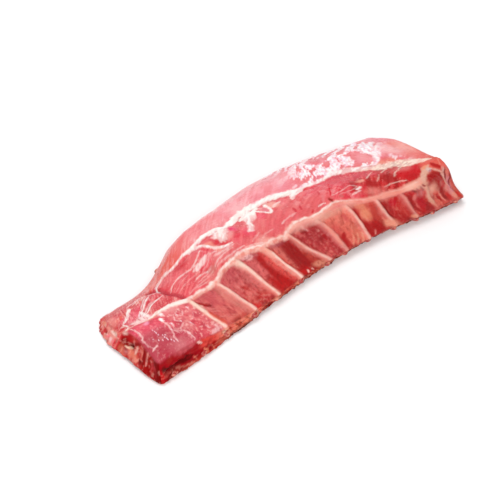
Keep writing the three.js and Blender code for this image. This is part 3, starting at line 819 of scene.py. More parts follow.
# the thick end behind its muscle block
curl = fall(S, 92, 100) * rise(V, .33, .36)
lay_all(curl, (
    (232, 84, 100, fall(V, .72, .78)),
    (242, 114, 130, band(12, 46, S, 4) * rise(V, .44, .56) * fall(V, .7, .76)),
    (252, 214, 212, band(12, 48, S, 5) * fall(V + .1 * (PATCHES_FINE - .5), .4, .6) * .9),
    (226, 104, 106, band(50, 98, S, 2) * fall(V, .5, .55) * .95),
    (206, 62, 74, band(58, 92, S, 6) * band(.36, .46, V, .03) * rise(GRAIN, .44, .56) * .6),
    (238, 128, 128, band(50, 98, S, 3) * band(.56, .66, V, .02) * .6),
    (224, 76, 86, rise(V, .77, .82) * .9),
    (214, 70, 70, rise(V, .84, .9) * .8),
    (214, 84, 80, fall(S, 3, 9) * .9),
    (248, 190, 182, rise(cloud(slant(14, 2.2, 62), 76), .52, .66) * .45),
    (251, 214, 206, threads(slant(16, 3.2, 64), 93, .018) * .6),
))
lay_strokes(TOP, (
    (6, 252, 220, 222, .7, 44, .765, 46, .78, 50, .77), (9, 252, 226, 228, .8, 40, .44, 44, .52, 47, .59),
    (1.6, 240, 116, 132, .8, 9.6, .64, 9.2, .52, 8.6, .42),
    (3.4, 248, 186, 172, .8, 7.5, .66, 7, .52, 5.5, .4), (2.4, 222, 52, 66, .8, 2, .64, 1.8, .5, 1.4, .38),
))
lay((206, 48, 62), curl * rise(.5 - cloud(slant(12, 2.2, 60), 94), 0, .14) * .55)
# painted shade: the valley between the curled muscle and the block is darkened
lay((186, 60, 72), VALLEY * .75)

# the thick end's muscle block
lay_all(BLOCK, (
    (206, 84, 98, 1),
    (234, 116, 120, rise(S, 48, 72) * .85),
    (240, 88, 108, rise(V, .18, .27) * fall(S, 45, 65) * .85),
    (190, 74, 86, fall(S, 28, 46) * fall(V, .14, .24) * .85),
    (246, 172, 202, spot((26, .315), (7, 3), 20) * .7),
    (230, 84, 96, band(40, 80, S, 8) * rise(PATCHES, .4, .55) * .6),
    (190, 58, 74, rise(.5 - PATCHES_FINE, 0, .2) * .55),
    (238, 148, 144, rise(PATCHES_FINE, .52, .72) * rise(S, 40, 66) * .5),
))
patchy = rise(cloud(xyz(12), 95), .4, .6)
near_panels = rise(S, 38, 60)
lay_all(BLOCK, (
    (247, 178, 174, threads(slant(3.4, 8, -18), 77, .02) * patchy * (.12 + .5 * near_panels)),
    (247, 184, 176, threads(slant(2.8, 7, 34), 96, .016) * (1 - patchy) * (.1 + .42 * near_panels)),
    (248, 188, 182, rise(DUST, .6, .74) * (.25 + .4 * near_panels)),
    (196, 60, 78, rise(.5 - DUST, .06, .22) * .4),
))
# the block's marbling
VEINS = (
    (6, 1, 52, .345, 54, .32, 55, .285), (3.4, .8, 61, .345, 63, .325, 65, .31),
    (5.4, 1, 47.5, .285, 46, .268, 44.5, .252), (2.6, .95, 44.5, .25, 43.8, .235, 44.4, .215),
    (2, .85, 44.4, .22, 43.6, .185, 42.6, .152), (2, 1, 43, .158, 42.4, .15),
    (2, .8, 42.6, .15, 39.5, .115, 36.5, .08, 34.6, .045), (1.8, .75, 43, .15, 45.5, .125, 46, .1),
    (2.4, .75, 49.8, .205, 49.2, .185, 48, .165), (1.2, .5, 44.5, .225, 48, .208, 49.5, .195),
    (1.5, .75, 46.5, .128, 50.5, .108, 54.5, .128, 62, .155), (1.8, .75, 53.5, .11, 53, .06, 52.6, .008),
    (2.6, .9, 53.4, .078, 53, .064), (1.6, .7, 57, .205, 59.5, .228, 62, .252),
    (1.4, .7, 57, .205, 60, .19, 63, .178), (2.6, .85, 62.6, .186, 62, .176),
    (2.6, .85, 66.8, .246, 65.6, .232), (1, .6, 66.5, .235, 72, .222, 79, .248),
    (.8, .5, 56, .27, 66, .258, 74, .268), (2.2, .8, 76.5, .28, 76, .272), (2.6, .7, 87.6, .275, 86.6, .24),
    (2.8, .65, 70.5, .15, 70.3, .112), (2.4, .6, 81.6, .08, 81.2, .05),
    (.8, .4, 78, .165, 84, .19, 89, .215), (.8, .5, 38, .2, 41, .208, 44, .216),
    (1.6, .5, 24.5, .272, 23.5, .255), (1.8, .4, 27.5, .216, 26, .204),
    (1.6, .9, 3.6, .074, 6, .086, 9.4, .093, 12, .092), (3.4, .65, 75, .006, 84, .014, 94, .03),
    (2.4, .4, 88, .06, 92, .05, 95, .06),
    (1.4, .95, 2.5, .33, 4.6, .3, 3.6, .265, 2.8, .235, 2.2, .2, 2.6, .16),
    (1, .6, 2.6, .16, 3.4, .135, 5, .11, 6.4, .092),
)
for width, strength, *knots in VEINS:
    mark = stroke(knots, width, soft=.4, wander=1.3, fray=.6)
    lay((252, 204, 202), np.sqrt(mark) * strength * TOP)
    relief += VEIN_HEIGHT * mark * strength * TOP
lay_strokes(TOP, (
    (4.4, 255, 248, 248, 1, 47.5, .28, 46, .265, 44.6, .25), (5, 255, 248, 244, .9, 54.2, .33, 55, .3),
), soft=.4)

# wet glints on the block, as small bright dots
GLINTS = (
    (20, .222), (20.5, .205), (21, .188), (21.5, .168), (21.7, .115), (26, .15), (26.5, .128), (27.2, .112),
    (27.6, .1), (29.2, .142), (30.6, .086), (32, .065), (35, .056), (17.5, .128), (12.6, .15), (42.6, .155),
    (49.3, .195), (62.2, .18), (70.5, .14), (66.8, .243), (87.8, .262),
)
lay_spots(TOP, [(*glint, .55, .95, 253, 232, 246, 1, 10) for glint in GLINTS], soft=.5, wander=.2)

# the rib panels, each with its own flesh
below = TOP * BELOW_BORDER * rise(S + ridge_wander, 98, 100)
PANEL_FLESH = (
    # from, to, colour at the border, colour at the tips
    (98, 138, (212, 98, 100), (210, 96, 94)), (138, 172, (208, 88, 94), (204, 68, 68)),
    (172, 210, (208, 84, 90), (196, 30, 36)), (210, 249, (176, 30, 36), (172, 20, 26)),
    (249, 281, (190, 68, 70), (198, 72, 74)), (281, 314, (230, 118, 104), (222, 102, 90)),
    (314, 351, (216, 92, 80), (186, 38, 42)), (351, 382, (188, 34, 42), (178, 28, 34)),
    (382, 407, (194, 46, 50), (190, 38, 42)), (407, 438, (218, 150, 136), (204, 84, 76)),
    (438, 450, (190, 76, 70), (196, 86, 74)),
)
for first, last, high, low in PANEL_FLESH:
    inside = band(first, last, S + ridge_wander, 1.6)
    lay(high, below * inside)
    lay(low, below * inside * fall(V, .08, .24))
PANEL_GRAIN = cloud(slant(2.4, 13, -16), 78)
panels = PANEL * below
lay_all(panels, (
    (146, 16, 26, rise(.5 - PANEL_GRAIN, .02, .2) * .42),
    (238, 140, 124, rise(PANEL_GRAIN, .52, .72) * .4),
    (150, 28, 36, rise(.5 - PATCHES_FINE, 0, .2) * .35),
    (240, 150, 136, threads(slant(3, 12, -30), 97, .022) * rise(PATCHES, .42, .6) * .18),
))
lay_spots(TOP * rise(V, -.01, .01), (
    # first panel: smooth salmon flesh with a red gash
    (117, .015, 8, 5, 230, 126, 110, .5), (120, .01, 16, 2.6, 190, 52, 44, .5),
    (134, .15, 6.5, 34, 226, 140, 128, .55), (116, .24, 9, 9, 204, 88, 92, .5),
    # second: dusty, speckled below
    (151, .165, 6, 20, 230, 124, 118, .5), (153, .035, 6, 5, 182, 30, 34, .8),
    (153.5, .15, 2, 3.6, 186, 34, 40, .8, 10), (147, .125, 1.8, 3, 186, 50, 54, .7, 20),
    (164, .075, 4, 4, 192, 58, 50, .8, 10), (143, .012, 5, 3, 216, 40, 44, .8),
    (164, .19, 5, 20, 222, 124, 118, .5), (154, .26, 7, 9, 192, 76, 84, .5),
    (145, .2, 3, 14, 206, 96, 96, .5),
    # third: a bright red slant
    (182, .16, 7.5, 24, 228, 118, 114, .6), (195, .272, 4.2, 7, 184, 18, 30, .9, -38),
    (190.5, .23, 4, 6, 176, 18, 28, .8, -20), (183, .08, 2.6, 9, 170, 20, 30, .8),
    (192, .13, 5, 15, 176, 16, 26, .95), (185, .045, 9, 10, 188, 22, 30, .95),
    (201, .16, 4.4, 24, 226, 90, 84, .85, 3), (206, .14, 2.4, 24, 236, 138, 124, .7, 3),
    (178, .24, 3, 12, 206, 98, 98, .6), (182, .305, 7, 2.8, 240, 184, 180, .85, -5),
    (186, .335, 7, 2.4, 226, 138, 130, .8, 5), (192, .31, 3, 3.4, 204, 112, 110, .8, 20),
    # fourth: grey-mauve above, dark red below, with two painted highlights as wet glints at the tips
    (219, .235, 6.5, 19, 232, 130, 120, .6), (227, .305, 11, 4.4, 176, 92, 98, .8),
    (231, .21, 8.5, 13, 154, 14, 24, .9), (230, .1, 10, 13, 158, 24, 30, .7),
    (244, .12, 4.4, 18, 190, 74, 64, .8, -14), (241, .022, 8, 3.4, 222, 142, 118, .8),
    (220, .03, 7, 5, 198, 26, 32, .8), (223, .022, 1.2, 1.8, 250, 196, 184, .9, -30),
    (228.5, .012, 1, 1.4, 248, 190, 176, .8, -30), (215.5, .18, 2.4, 14, 216, 92, 82, .75, 6),
    # fifth: dusky
    (256, .15, 1.8, 12, 174, 30, 38, .7, -8), (275, .175, 1.6, 5, 180, 38, 46, .8),
    (262, .285, 2.2, 3.4, 148, 22, 30, .8), (274, .242, .9, 1.5, 230, 156, 146, .8),
    (264, .22, 8, 10, 160, 48, 54, .4), (264.5, .305, 1.2, 5, 226, 152, 150, .75, 10),
    (272, .06, 5, 8, 170, 48, 50, .4),
    # sixth: a pale sheet of membrane over the flesh
    (287, .06, 4.5, 12, 182, 50, 48, .8, -8), (307, .24, 2.6, 6, 208, 78, 80, .7),
    (290, .19, 5, 7, 208, 78, 78, .6), (290, .325, 7, 4, 216, 126, 108, .7),
    (306, .09, 5, 12, 228, 128, 106, .5),
    # seventh: red on both flanks, tan between, with a painted highlight as a wet glint at the tip
    (321, .235, 3.6, 10, 170, 40, 44, .9, -6), (322, .095, 5, 13, 168, 36, 40, .9),
    (332, .22, 5.4, 10, 228, 138, 108, .85), (332, .295, 7, 5, 222, 130, 106, .7),
    (338.5, .29, 2.4, 7, 194, 84, 74, .7), (324.5, .035, 1, 3.4, 236, 150, 140, .8, -40),
    (343, .215, 4.4, 15, 192, 70, 62, .85, -6), (334, .05, 8, 8, 168, 38, 40, .8, 15),
    # eighth
    (360, .215, 6, 15, 160, 28, 36, .7), (376, .17, 4.5, 20, 194, 62, 58, .75, -6),
    (356.5, .15, 1.8, 18, 140, 14, 22, .8), (368, .245, 3.6, 8, 196, 40, 54, .7, -10),
    (379, .025, 4, 4, 226, 146, 118, .8), (371, .018, 3.6, 3.4, 150, 40, 30, .7),
    (361, .06, 6, 8, 176, 50, 48, .5),
    # ninth
    (388, .2, 3.6, 17, 172, 40, 42, .7), (397, .145, 7, 15, 176, 42, 50, .75, -5),
    (396, .045, 5, 6, 186, 44, 40, .7),
    # the thin end: pale tissue with dark spots, painted shade for its hollows and its crack, and a fan of
    # dark muscle
    (397, .11, 6, 10, 184, 40, 46, .7), (393, .23, 2.4, 6, 226, 128, 120, .7, -8),
    (391.5, .12, 1.2, 8, 222, 112, 104, .6), (405, .15, 2.4, 14, 186, 56, 48, .8),
    (401, .04, 6, 5, 156, 16, 20, .8, 20), (402, .35, 11, 6, 228, 168, 148, .9, -4),
    (410, .33, 5.5, 10, 222, 158, 138, .95), (410.5, .2, 4, 20, 222, 158, 138, .95),
    (410.5, .09, 2.4, 9, 218, 152, 130, .9), (414, .06, 4.5, 7, 216, 102, 88, .85, -15),
    (414, .18, 1.8, 9, 206, 96, 84, .6), (419, .245, 9, 2.4, 228, 156, 138, .95, -50),
    (394, .312, 1, 2.2, 150, 40, 60, .9, 35), (396, .296, 1.5, 2.8, 138, 18, 40, 1, 40),
    (399, .31, .9, 2.6, 162, 60, 74, .8, 20), (401, .288, 1.1, 2.4, 150, 44, 56, .8, 30),
    (403.5, .302, 1.2, 3, 134, 18, 36, 1, 15), (403, .332, .9, 2.4, 164, 70, 80, .8, 35),
    (397, .262, 1, 4, 182, 96, 106, .7), (402, .258, .9, 4, 176, 84, 92, .6),
    (407, .33, 1.3, 2.6, 150, 36, 46, .9, 30), (423, .345, 8, 11.5, 166, 18, 30, 1, -42),
    (429, .275, 7, 14, 162, 18, 28, 1, -28), (435.5, .225, 3, 9, 180, 40, 36, .9, -25),
    (421, .18, 3, 6, 200, 50, 48, .9), (421, .1, 2.2, 8, 174, 20, 26, .95),
    (430, .155, 3.6, 6.5, 156, 14, 24, .95, -12), (428, .09, 3, 6.5, 152, 12, 22, .95),
    (433, .08, 2.6, 9, 192, 44, 44, .8, -10), (422, .02, 4, 3, 200, 70, 60, .7),
    (440, .32, 3, 9, 222, 160, 148, .85, -10), (440.5, .16, 3, 18, 220, 140, 140, .85, -6),
    (443, .17, 1.2, 12, 200, 120, 134, .7, -8), (440, .06, 3.2, 6, 230, 144, 122, .8),
    (445, .05, 2.6, 5, 208, 56, 50, .85), (445.5, .31, 2.2, 7, 220, 120, 106, .85),
    (441.8, .29, 1.1, 9, 132, 8, 16, .95, -14), (445.4, .22, 1, 7.5, 138, 10, 16, .95, -20),
    # two dimples along the border
    (320, .415, 2.4, 2, 190, 110, 104, .5), (292, .335, 4, 4, 190, 110, 96, .5),
), soft=.55)
lay_strokes(TOP, (
    # the pale climb of the border round the thin end, and the fan's lines
    (8.5, 230, 176, 156, .95, 403, .375, 411, .385, 417, .412, 423, .45, 430, .478),
    (3, 242, 150, 116, .8, 421, .46, 426, .482, 430, .486), (6.5, 226, 190, 178, .95, 424, .44, 429, .425),
    (3.4, 194, 128, 138, .9, 425, .424, 428, .415),
    (5.2, 186, 34, 34, .95, 434, .49, 435, .45, 437.5, .41, 438.5, .375),
    (2.6, 230, 164, 148, .95, 430, .44, 432, .4, 435, .355, 438, .3, 438.5, .24, 440, .18),
    (.6, 206, 104, 98, .35, 417, .385, 423, .32, 430, .245),
    (.6, 206, 104, 98, .3, 424, .392, 430, .32, 435, .25),
    (.6, 200, 92, 88, .4, 414.5, .35, 420, .295, 427, .235),
    (1.3, 228, 140, 124, .85, 425.5, .175, 424.5, .13, 424, .09, 424.5, .05),
    (1, 226, 128, 108, .6, 419, .15, 418, .11, 419, .07),
    (1.4, 240, 160, 138, .6, 445, .5, 442.5, .45, 441, .4),
    # first panel: the gash and fine pale streaks
    (4.4, 172, 12, 22, 1, 102.5, .278, 104.5, .248, 107, .225, 109.5, .198),
    (2.6, 140, 8, 16, .9, 106.5, .215, 109.5, .198),
    (1.2, 228, 136, 128, .7, 103, .195, 106, .18, 110, .16),
    (1.2, 226, 132, 124, .65, 104, .16, 108, .14, 113, .108),
    (1, 222, 122, 116, .6, 108, .165, 113, .145, 118, .12),
    (1.2, 226, 132, 124, .65, 104, .092, 108, .072, 113, .04),
    (1, 226, 130, 124, .6, 117, .15, 121, .128, 124, .106),
    (1, 222, 124, 118, .55, 110, .08, 115, .058, 120, .03),
    (1, 222, 122, 118, .45, 118, .24, 124, .215, 129, .185),
    # second: small pale lines
    (1.4, 226, 136, 128, .8, 149, .205, 149.5, .175, 151, .15),
    (1, 224, 130, 118, .7, 150, .045, 154, .03, 158, .022),
    (1, 226, 134, 118, .6, 158, .055, 162, .04, 166, .026),
    # sixth: a red slant and strips of membrane
    (6.5, 178, 42, 44, .95, 281, .015, 285, .055, 289, .095, 294, .14),
    (2.2, 238, 154, 128, .55, 291, .02, 296, .055, 301, .095),
    (2.4, 238, 156, 130, .55, 296, .01, 301, .045, 306, .085),
    (2.6, 240, 160, 134, .55, 302, .005, 307, .035, 311, .075),
    (1.2, 232, 136, 118, .6, 300, .1, 304, .13, 308, .165),
    # seventh to ninth
    (5, 162, 28, 34, .8, 330, 0, 336, .04, 341, .085, 345, .13),
    (1, 206, 80, 76, .6, 360, .1, 364, .145, 368, .2), (1, 204, 76, 70, .6, 365, .06, 369, .11, 373, .165),
    (4, 160, 18, 28, .85, 386, .3, 388, .22, 387.5, .14, 388, .05),
    (3.6, 158, 16, 22, .85, 405, .13, 402, .08, 397, .03),
), wander=.8)
dusky = np.maximum(band(142, 172, S, 6), band(249, 281, S, 6))
lay_all(panels, (
    (140, 20, 30, band(142, 280, S, 8) * rise(DUST, .54, .68) * .42),
    (222, 128, 122, dusky * rise(.5 - DUST, .06, .2) * .32),
    (120, 14, 22, fall(W, 0, 4.5) * rise(PATCHES_FINE, .45, .6) * .7),
))

# crests and border
crest = RIDGE ** 1.7 * BELOW_BORDER * rise(S, 90, 97) * TOP
lay((242, 160, 144), crest * (.3 + .55 * ridge_pale) * fall(S, 393, 398))
pale_line = RIDGE_CREST * BELOW_BORDER * rise(S, 92, 96) * TOP * ridge_pale
lay((252, 216, 202), pale_line * (.7 + .3 * rise(RAGGED, .3, .6)))
lay_strokes(TOP, ((5, 232, 92, 74, .7, 101, .17, 100.5, .09, 100, .02),), soft=1.2)
lay_spots(TOP, (
    (349, .045, 7, 9, 236, 150, 126, .9, 30), (206, .3, 4.5, 9, 240, 166, 148, .8, 10),
    (168, .3, 4.5, 8, 242, 206, 188, .8, 10), (98.5, .245, 3.4, 10, 250, 214, 196, .8),
), soft=.6)
border_fat = BORDER_FAT * fall(S, 404, 412) * TOP
lay_all(border_fat, (
    (242, 160, 146, .9),
    (254, 240, 230, band(58, 98, S, 5) * rise(RAGGED, .2, .42)),
    (250, 206, 192, band(112, 260, S, 8) * rise(RAGGED, .3, .55) * .6),
    (228, 118, 104, rise(PATCHES_FINE, .5, .64) * rise(S, 110, 150) * .55),
    (236, 146, 128, rise(S, 330, 370) * .7),
    (251, 196, 176, band(386, 404, S, 8) * .7),
))
lay((254, 238, 230), BORDER_CREST * TOP)

# wide soft patches of paler and deeper flesh
lay_spots(TOP, (
    (161, .425, 9, 6, 252, 194, 186, .3), (145, .384, 8, 5, 250, 188, 176, .25),
    (204, .726, 12, 8, 252, 190, 190, .3), (320, .33, 9, 5, 248, 184, 168, .5),
    (361, .322, 8, 4.5, 242, 166, 152, .4), (281, .336, 9, 5, 252, 204, 186, .5),
    (405, .541, 8, 5, 246, 164, 154, .35), (400, .267, 5, 7, 218, 146, 136, .35),
    (37, .03, 12, 6, 234, 152, 154, .4), (4, .808, 6, 10, 254, 176, 166, .5),
    (69, .3, 12, 4.5, 252, 190, 186, .45), (215, .366, 8, 4.5, 252, 194, 182, .55),
    (261, .342, 9, 5, 246, 188, 172, .55), (300, .326, 10, 5, 244, 170, 152, .6),
    (359, .396, 9, 5, 238, 148, 136, .6), (420, .24, 5.5, 8, 234, 166, 146, .65),
    (150, .562, 9, 7, 246, 148, 148, .35), (425, .766, 11, 5, 252, 208, 208, .6),
    (442, .775, 6, 7, 248, 188, 178, .6), (397, .76, 9, 5, 252, 190, 192, .5),
    # the deep red patch at station 119 is darker meat and also painted shade where the loin met a
    # neighbouring slab
    (119, .904, 12, 10, 206, 86, 78, .4), (244, .753, 13, 7, 252, 210, 210, .5),
    (304, .863, 17, 10, 242, 150, 158, .75),
), soft=.9)

# fat strands
warm = rise(S, 345, 385) * (1 - rise(V, .64, .68) * fall(S, 380, 400))
lay((254, 240, 235), fat * TOP * (1 - .85 * warm))
lay((255, 250, 244), np.sqrt(fat) * TOP * band(150, 300, S, 8) * rise(V, .58, .62) * .95)
lay_all(fat * TOP * warm, (
    (253, 226, 208, 1),
    (253, 228, 212, rise(PATCHES_FINE, .45, .6) * .7),
))

# cut faces, here the row of rib tips
side = fall(slab.r, .8, .97)
lip = LIP_FACE * side
thick = fall(S, 88, 100)
past_block = 1 - thick
shreds = cloud(np.stack((S / 7.0, HEIGHT / 1.7, V * 0), axis=1), 81)
splinters = cloud(np.stack((S / 2.6 + HEIGHT / 5.0, HEIGHT / 9.0, V * 0), axis=1), 82)
lay_all(lip, (
    (164, 22, 46, thick),
    (230, 84, 76, band(58, 84, S, 6) * rise(R, .42, .55) * .9),
    (238, 124, 108, band(82, 110, S, 6) * rise(R, .42, .55) * .9),
    (178, 58, 52, thick * fall(R, .16, .34) * .9),
    (196, 72, 56, past_block),
    (236, 122, 100, band(96, 150, S, 10) * .7),
))
# on the lip, the near-black spots between the rib tips past station 300 are painted shade under the lip, and
# the near-black one at station 10 is painted shade along the crevice
lay_spots(lip, (
    (15, .78, 5, 3, 160, 18, 42, .9), (6.5, .57, 3, 2.5, 110, 6, 18, .9), (10, .5, 5.5, 1.5, 64, 2, 8, .95),
    (7, .28, 6, 4, 204, 32, 48, .9), (2, .38, 3, 4, 200, 30, 46, .9), (27, .17, 4.5, 1.6, 128, 10, 16, .9),
    (37, .84, 12, 3.2, 226, 112, 120, .65), (14, .2, 7, 4, 126, 12, 20, .9),
    (68, .48, 2.2, 2.2, 142, 16, 20, .9), (75, .46, 3.2, 2.8, 158, 24, 24, .85),
    (86, .34, 7, 4, 198, 100, 82, .8), (94.5, .74, 4.4, 7, 252, 184, 162, .95),
    (138, .62, 9, 8, 254, 184, 160, .8), (104, .74, 2.8, 4.4, 206, 28, 34, .95),
    (116, .56, 3, 2.8, 172, 40, 34, .85), (144, .75, 3.4, 6, 222, 52, 46, .85),
    (158, .5, 7, 11, 158, 40, 30, .85), (171, .6, 6, 11, 238, 142, 114, .8),
    (191, .6, 6, 10, 202, 38, 32, .9), (204, .6, 4, 11, 232, 138, 112, .85),
    (216, .5, 6, 12, 124, 26, 18, .9), (231, .5, 7, 11, 180, 66, 44, .85),
    (245, .6, 4.5, 12, 226, 136, 108, .85), (256, .5, 4, 12, 118, 20, 14, .85),
    (275, .6, 6, 12, 224, 130, 104, .8), (288, .5, 7, 12, 150, 30, 24, .85),
    (303, .5, 5, 12, 92, 12, 12, .8), (314, .5, 3.5, 12, 222, 130, 104, .85),
    (330, .5, 12, 12, 148, 40, 26, .85), (344, .5, 2, 12, 80, 8, 8, .8),
    (352, .6, 4.5, 12, 222, 130, 104, .8), (364, .6, 5, 9, 178, 58, 40, .8),
    (375, .5, 5, 9, 92, 16, 14, .8), (383, .7, 3, 8, 214, 120, 98, .7), (399, .5, 13, 10, 112, 20, 18, .8),
    (428, .6, 5, 9, 180, 24, 28, .8), (441, .5, 3, 9, 108, 12, 14, .7),
), soft=.5, wander=.6, surface=LIP)
lay_strokes(lip, (
    (2.4, 96, 4, 12, .95, 14, .56, 24, .47, 34, .41, 44, .38),
    (1.8, 96, 6, 12, .85, 33, .53, 40, .5, 47, .42), (1.4, 208, 126, 106, .8, 16, .42, 18, .32, 21, .22),
    (1.8, 210, 122, 106, .9, 22, .34, 30, .26, 38, .19, 50, .12),
    (1.3, 226, 120, 100, .75, 46, .4, 48, .28, 50, .16), (2.4, 248, 206, 196, 1, 54, .84, 58, .76, 61, .7),
    (3.6, 224, 126, 98, .85, 61, .46, 64, .34, 66, .22), (1.8, 222, 120, 98, .75, 73, .42, 74, .26, 75, .1),
    (2.4, 194, 96, 80, .8, 22, .1, 34, .08, 55, .1),
), soft=.4, wander=.5, surface=LIP)
shred_share = (.25 + .3 * past_block) * (1 - .85 * thick * rise(R, .42, .54))
lay_all(lip, (
    (120, 10, 18, rise(.5 - shreds, .04, .16) * (.35 + .25 * past_block)),
    (236, 150, 132, rise(shreds, .55, .68) * shred_share),
    (110, 14, 16, past_block * rise(.5 - splinters, .04, .16) * .55),
    (232, 132, 110, past_block * rise(splinters, .55, .68) * .4),
    # painted shade: near-black low on the lip past the block, under the slab's edge
    (66, 6, 10, past_block * fall(R, .16, .46) * rise(splinters, .36, .5) * .9),
))
# painted shade: the crevice along the lip's thick end is darkened
lay((104, 6, 14), CREVICE * .8)
# the thick end's cut
end = THICK_FACE * side
lay_all(end, (
    (132, 10, 22, 1),
    (166, 16, 30, rise(V, .03, .06)),
    (196, 66, 64, rise(V, .13, .16)),
    (180, 46, 48, rise(V, .23, .27)),
    (238, 88, 92, rise(V, .33, .38)),
    (238, 148, 138, rise(V, .62, .68)),
    (226, 92, 94, rise(V, .79, .84)),
))
# the two dark spots round (.25, .57) are painted shade in the hollow pressed into the cut there
lay_spots(end, (
    (.25, .57, 2.8, 2.2, 100, 4, 10, 1), (.3, .58, 5, 3.5, 146, 10, 24, .9),
    (.22, .34, 6, 3.5, 238, 134, 112, .85), (.29, .17, 4, 4, 240, 124, 106, .7),
    (.27, .3, 2.6, 3, 188, 96, 100, .8), (.31, .28, 4, 4, 206, 108, 86, .75),
    (.33, .92, 5, 3, 252, 214, 204, .9), (.05, .6, 2.4, 3, 198, 70, 76, .6),
    (.155, .34, 2, 2.4, 110, 6, 14, .8), (.715, .36, 3, 3, 250, 200, 202, .9),
    (.665, .34, 4, 3, 242, 134, 142, .8), (.765, .38, 3.4, 3, 250, 110, 126, .85),
    (.82, .5, 5, 4, 196, 50, 52, .8), (.85, .72, 2, 2.6, 252, 206, 200, .8),
    (.9, .45, 1.6, 3.4, 250, 196, 190, .7), (.88, .75, 6, 3, 238, 158, 124, .7),
    (.94, .3, 6, 5, 196, 60, 50, .8),
), soft=.5, wander=.5, surface=END)
lay_strokes(end, (
    (2, 238, 152, 142, .95, .1, .98, .103, .7, .106, .38),
    (2.2, 144, 6, 16, .9, .125, .92, .13, .55, .128, .3),
    (1, 228, 122, 110, .85, .145, .88, .148, .6, .15, .42),
    (2.2, 242, 184, 170, .85, .195, .74, .2, .55, .205, .42),
    (3, 146, 6, 24, .9, .165, .96, .2, .8, .25, .62),
    (1.6, 252, 212, 184, .95, .235, .5, .26, .46, .285, .44),
    (1.4, 198, 78, 80, .7, .06, .84, .065, .5, .07, .28),
    (1, 190, 60, 64, .6, .03, .7, .034, .45, .036, .25),
    (1.2, 240, 150, 128, .8, .17, .4, .18, .28, .195, .18),
    (2.4, 240, 142, 124, .8, .36, .76, .45, .8, .6, .84),
    (2.2, 248, 184, 170, .95, .38, .56, .48, .58, .62, .66, .68, .72),
    (5, 253, 210, 198, .95, .62, .7, .68, .74, .76, .7),
    (2, 244, 124, 124, .8, .36, .14, .5, .15, .64, .17),
    (3.4, 214, 54, 62, .75, .4, .36, .52, .38, .64, .36),
    (1.6, 250, 192, 180, .95, .76, .46, .79, .4, .82, .33),
    (1.4, 244, 176, 160, .8, .86, .85, .88, .6, .87, .3),
    (1.2, 240, 164, 148, .7, .92, .9, .935, .6, .93, .25),
), soft=.4, wander=.5, surface=END)
lay_all(end, (
    (120, 10, 20, rise(.5 - cloud(xyz(4.0), 83), .04, .18) * .35),
    (244, 170, 156, rise(cloud(xyz(3.6), 124), .56, .68) * .35),
))
# the thin end's cut: marbled lean, a fat seam in it and the pale membrane below
thin = THIN_FACE * side
cut_plane = np.stack((W / 11.0, HEIGHT / 3.4, V * 0), axis=1)
seam_level = .46 + .5 * (cloud(np.stack((W / 24.0, V * 0, V * 0), axis=1), 142) - .5)
lay_all(thin, (
    (188, 50, 60, 1),
    (216, 88, 92, rise(cloud(cut_plane * 1.6, 84), .46, .62) * .75),
    (148, 22, 34, rise(.5 - cloud(cut_plane * 2.2, 141), .02, .16) * .6),
    (246, 190, 180, threads(cut_plane, 143, .022) * .6),
    (248, 206, 196, fall(np.abs(R - seam_level), .02, .07) * .85),
    (240, 186, 176, fall(R, .03, .09) * .8),
))
# the chine side's sawn strip
lay_all(CHINE_FACE * side, (
    (214, 92, 92, 1),
    (246, 200, 190, rise(cloud(slant(18, 6, 0, 5), 85), .52, .64) * .8),
    (172, 46, 54, rise(.5 - cloud(xyz(6), 86), .03, .16) * .6),
))

# underside: the pale, shiny bone-side membrane, darker between the ribs
on_rib = rib_profile(S)
lay_all(UNDER, (
    (206, 118, 114, 1),
    (232, 180, 170, on_rib),
    (176, 58, 64, (1 - on_rib) * rise(PATCHES_FINE, .4, .62) * .75),
    (244, 206, 194, rise(cloud(xyz(15), 87), .54, .68) * .7),
))

# Lay the relief on
all_quads = np.concatenate(slab.quads)
under_quads = np.array([p for p in slab.polygons if len(p) == 4])
normals = normals_of(points, np.concatenate((all_quads, under_quads)))
points = points + normals * relief[:, None]
points[:, 1] += CREVICE_DEPTH * CREVICE
slab_points = np.clip((points - SLAB_MIDDLE) * MM, CAD_BOX[0], CAD_BOX[1])


def mesh_from(name, verts, quads, polygons=()):
    """A smooth mesh of quads and any other faces."""
    loops = np.concatenate((quads.ravel(), np.array([i for p in polygons for i in p], int))).astype(np.int32)
    sizes = np.array([4] * len(quads) + [len(p) for p in polygons], np.int32)
    starts = np.concatenate(([0], np.cumsum(sizes)[:-1])).astype(np.int32)
    mesh = bpy.data.meshes.new(name)
    mesh.vertices.add(len(verts))
    mesh.vertices.foreach_set("co", verts.astype(np.float32).ravel())
    mesh.loops.add(len(loops))
    mesh.loops.foreach_set("vertex_index", loops)
    mesh.polygons.add(len(sizes))
    mesh.polygons.foreach_set("loop_start", starts)
    mesh.update(calc_edges=True)
    mesh.validate()
    mesh.shade_smooth()
    return mesh


def add_colour(mesh, name, rgb):
    layer = mesh.color_attributes.new(name, "FLOAT_COLOR", "POINT")
    rgba = np.concatenate((rgb, np.ones((len(rgb), 1))), axis=1).astype(np.float32)
    layer.data.foreach_set("color", rgba.ravel())


def add_vector(mesh, name, xyz_values):
    layer = mesh.attributes.new(name, "FLOAT_VECTOR", "POINT")
    layer.data.foreach_set("vector", xyz_values.astype(np.float32).ravel())


meat_mesh = mesh_from("meat", slab_points, all_quads, slab.polygons)
add_colour(meat_mesh, "paint", np.clip(paint, 0, 1))
fatness = np.clip(fat * TOP + border_fat + .6 * crest, 0, 1)
shine = np.clip(1 - .85 * (lip + end), 0, 1)
looks = np.stack((fatness, OVER_SEAM * TOP, shine), axis=1)
add_colour(meat_mesh, "looks", looks)
add_vector(meat_mesh, "grain", np.stack((S, W, HEIGHT), axis=1))
meat = bpy.data.objects.new("slab_meat", meat_mesh)
bpy.context.collection.objects.link(meat)


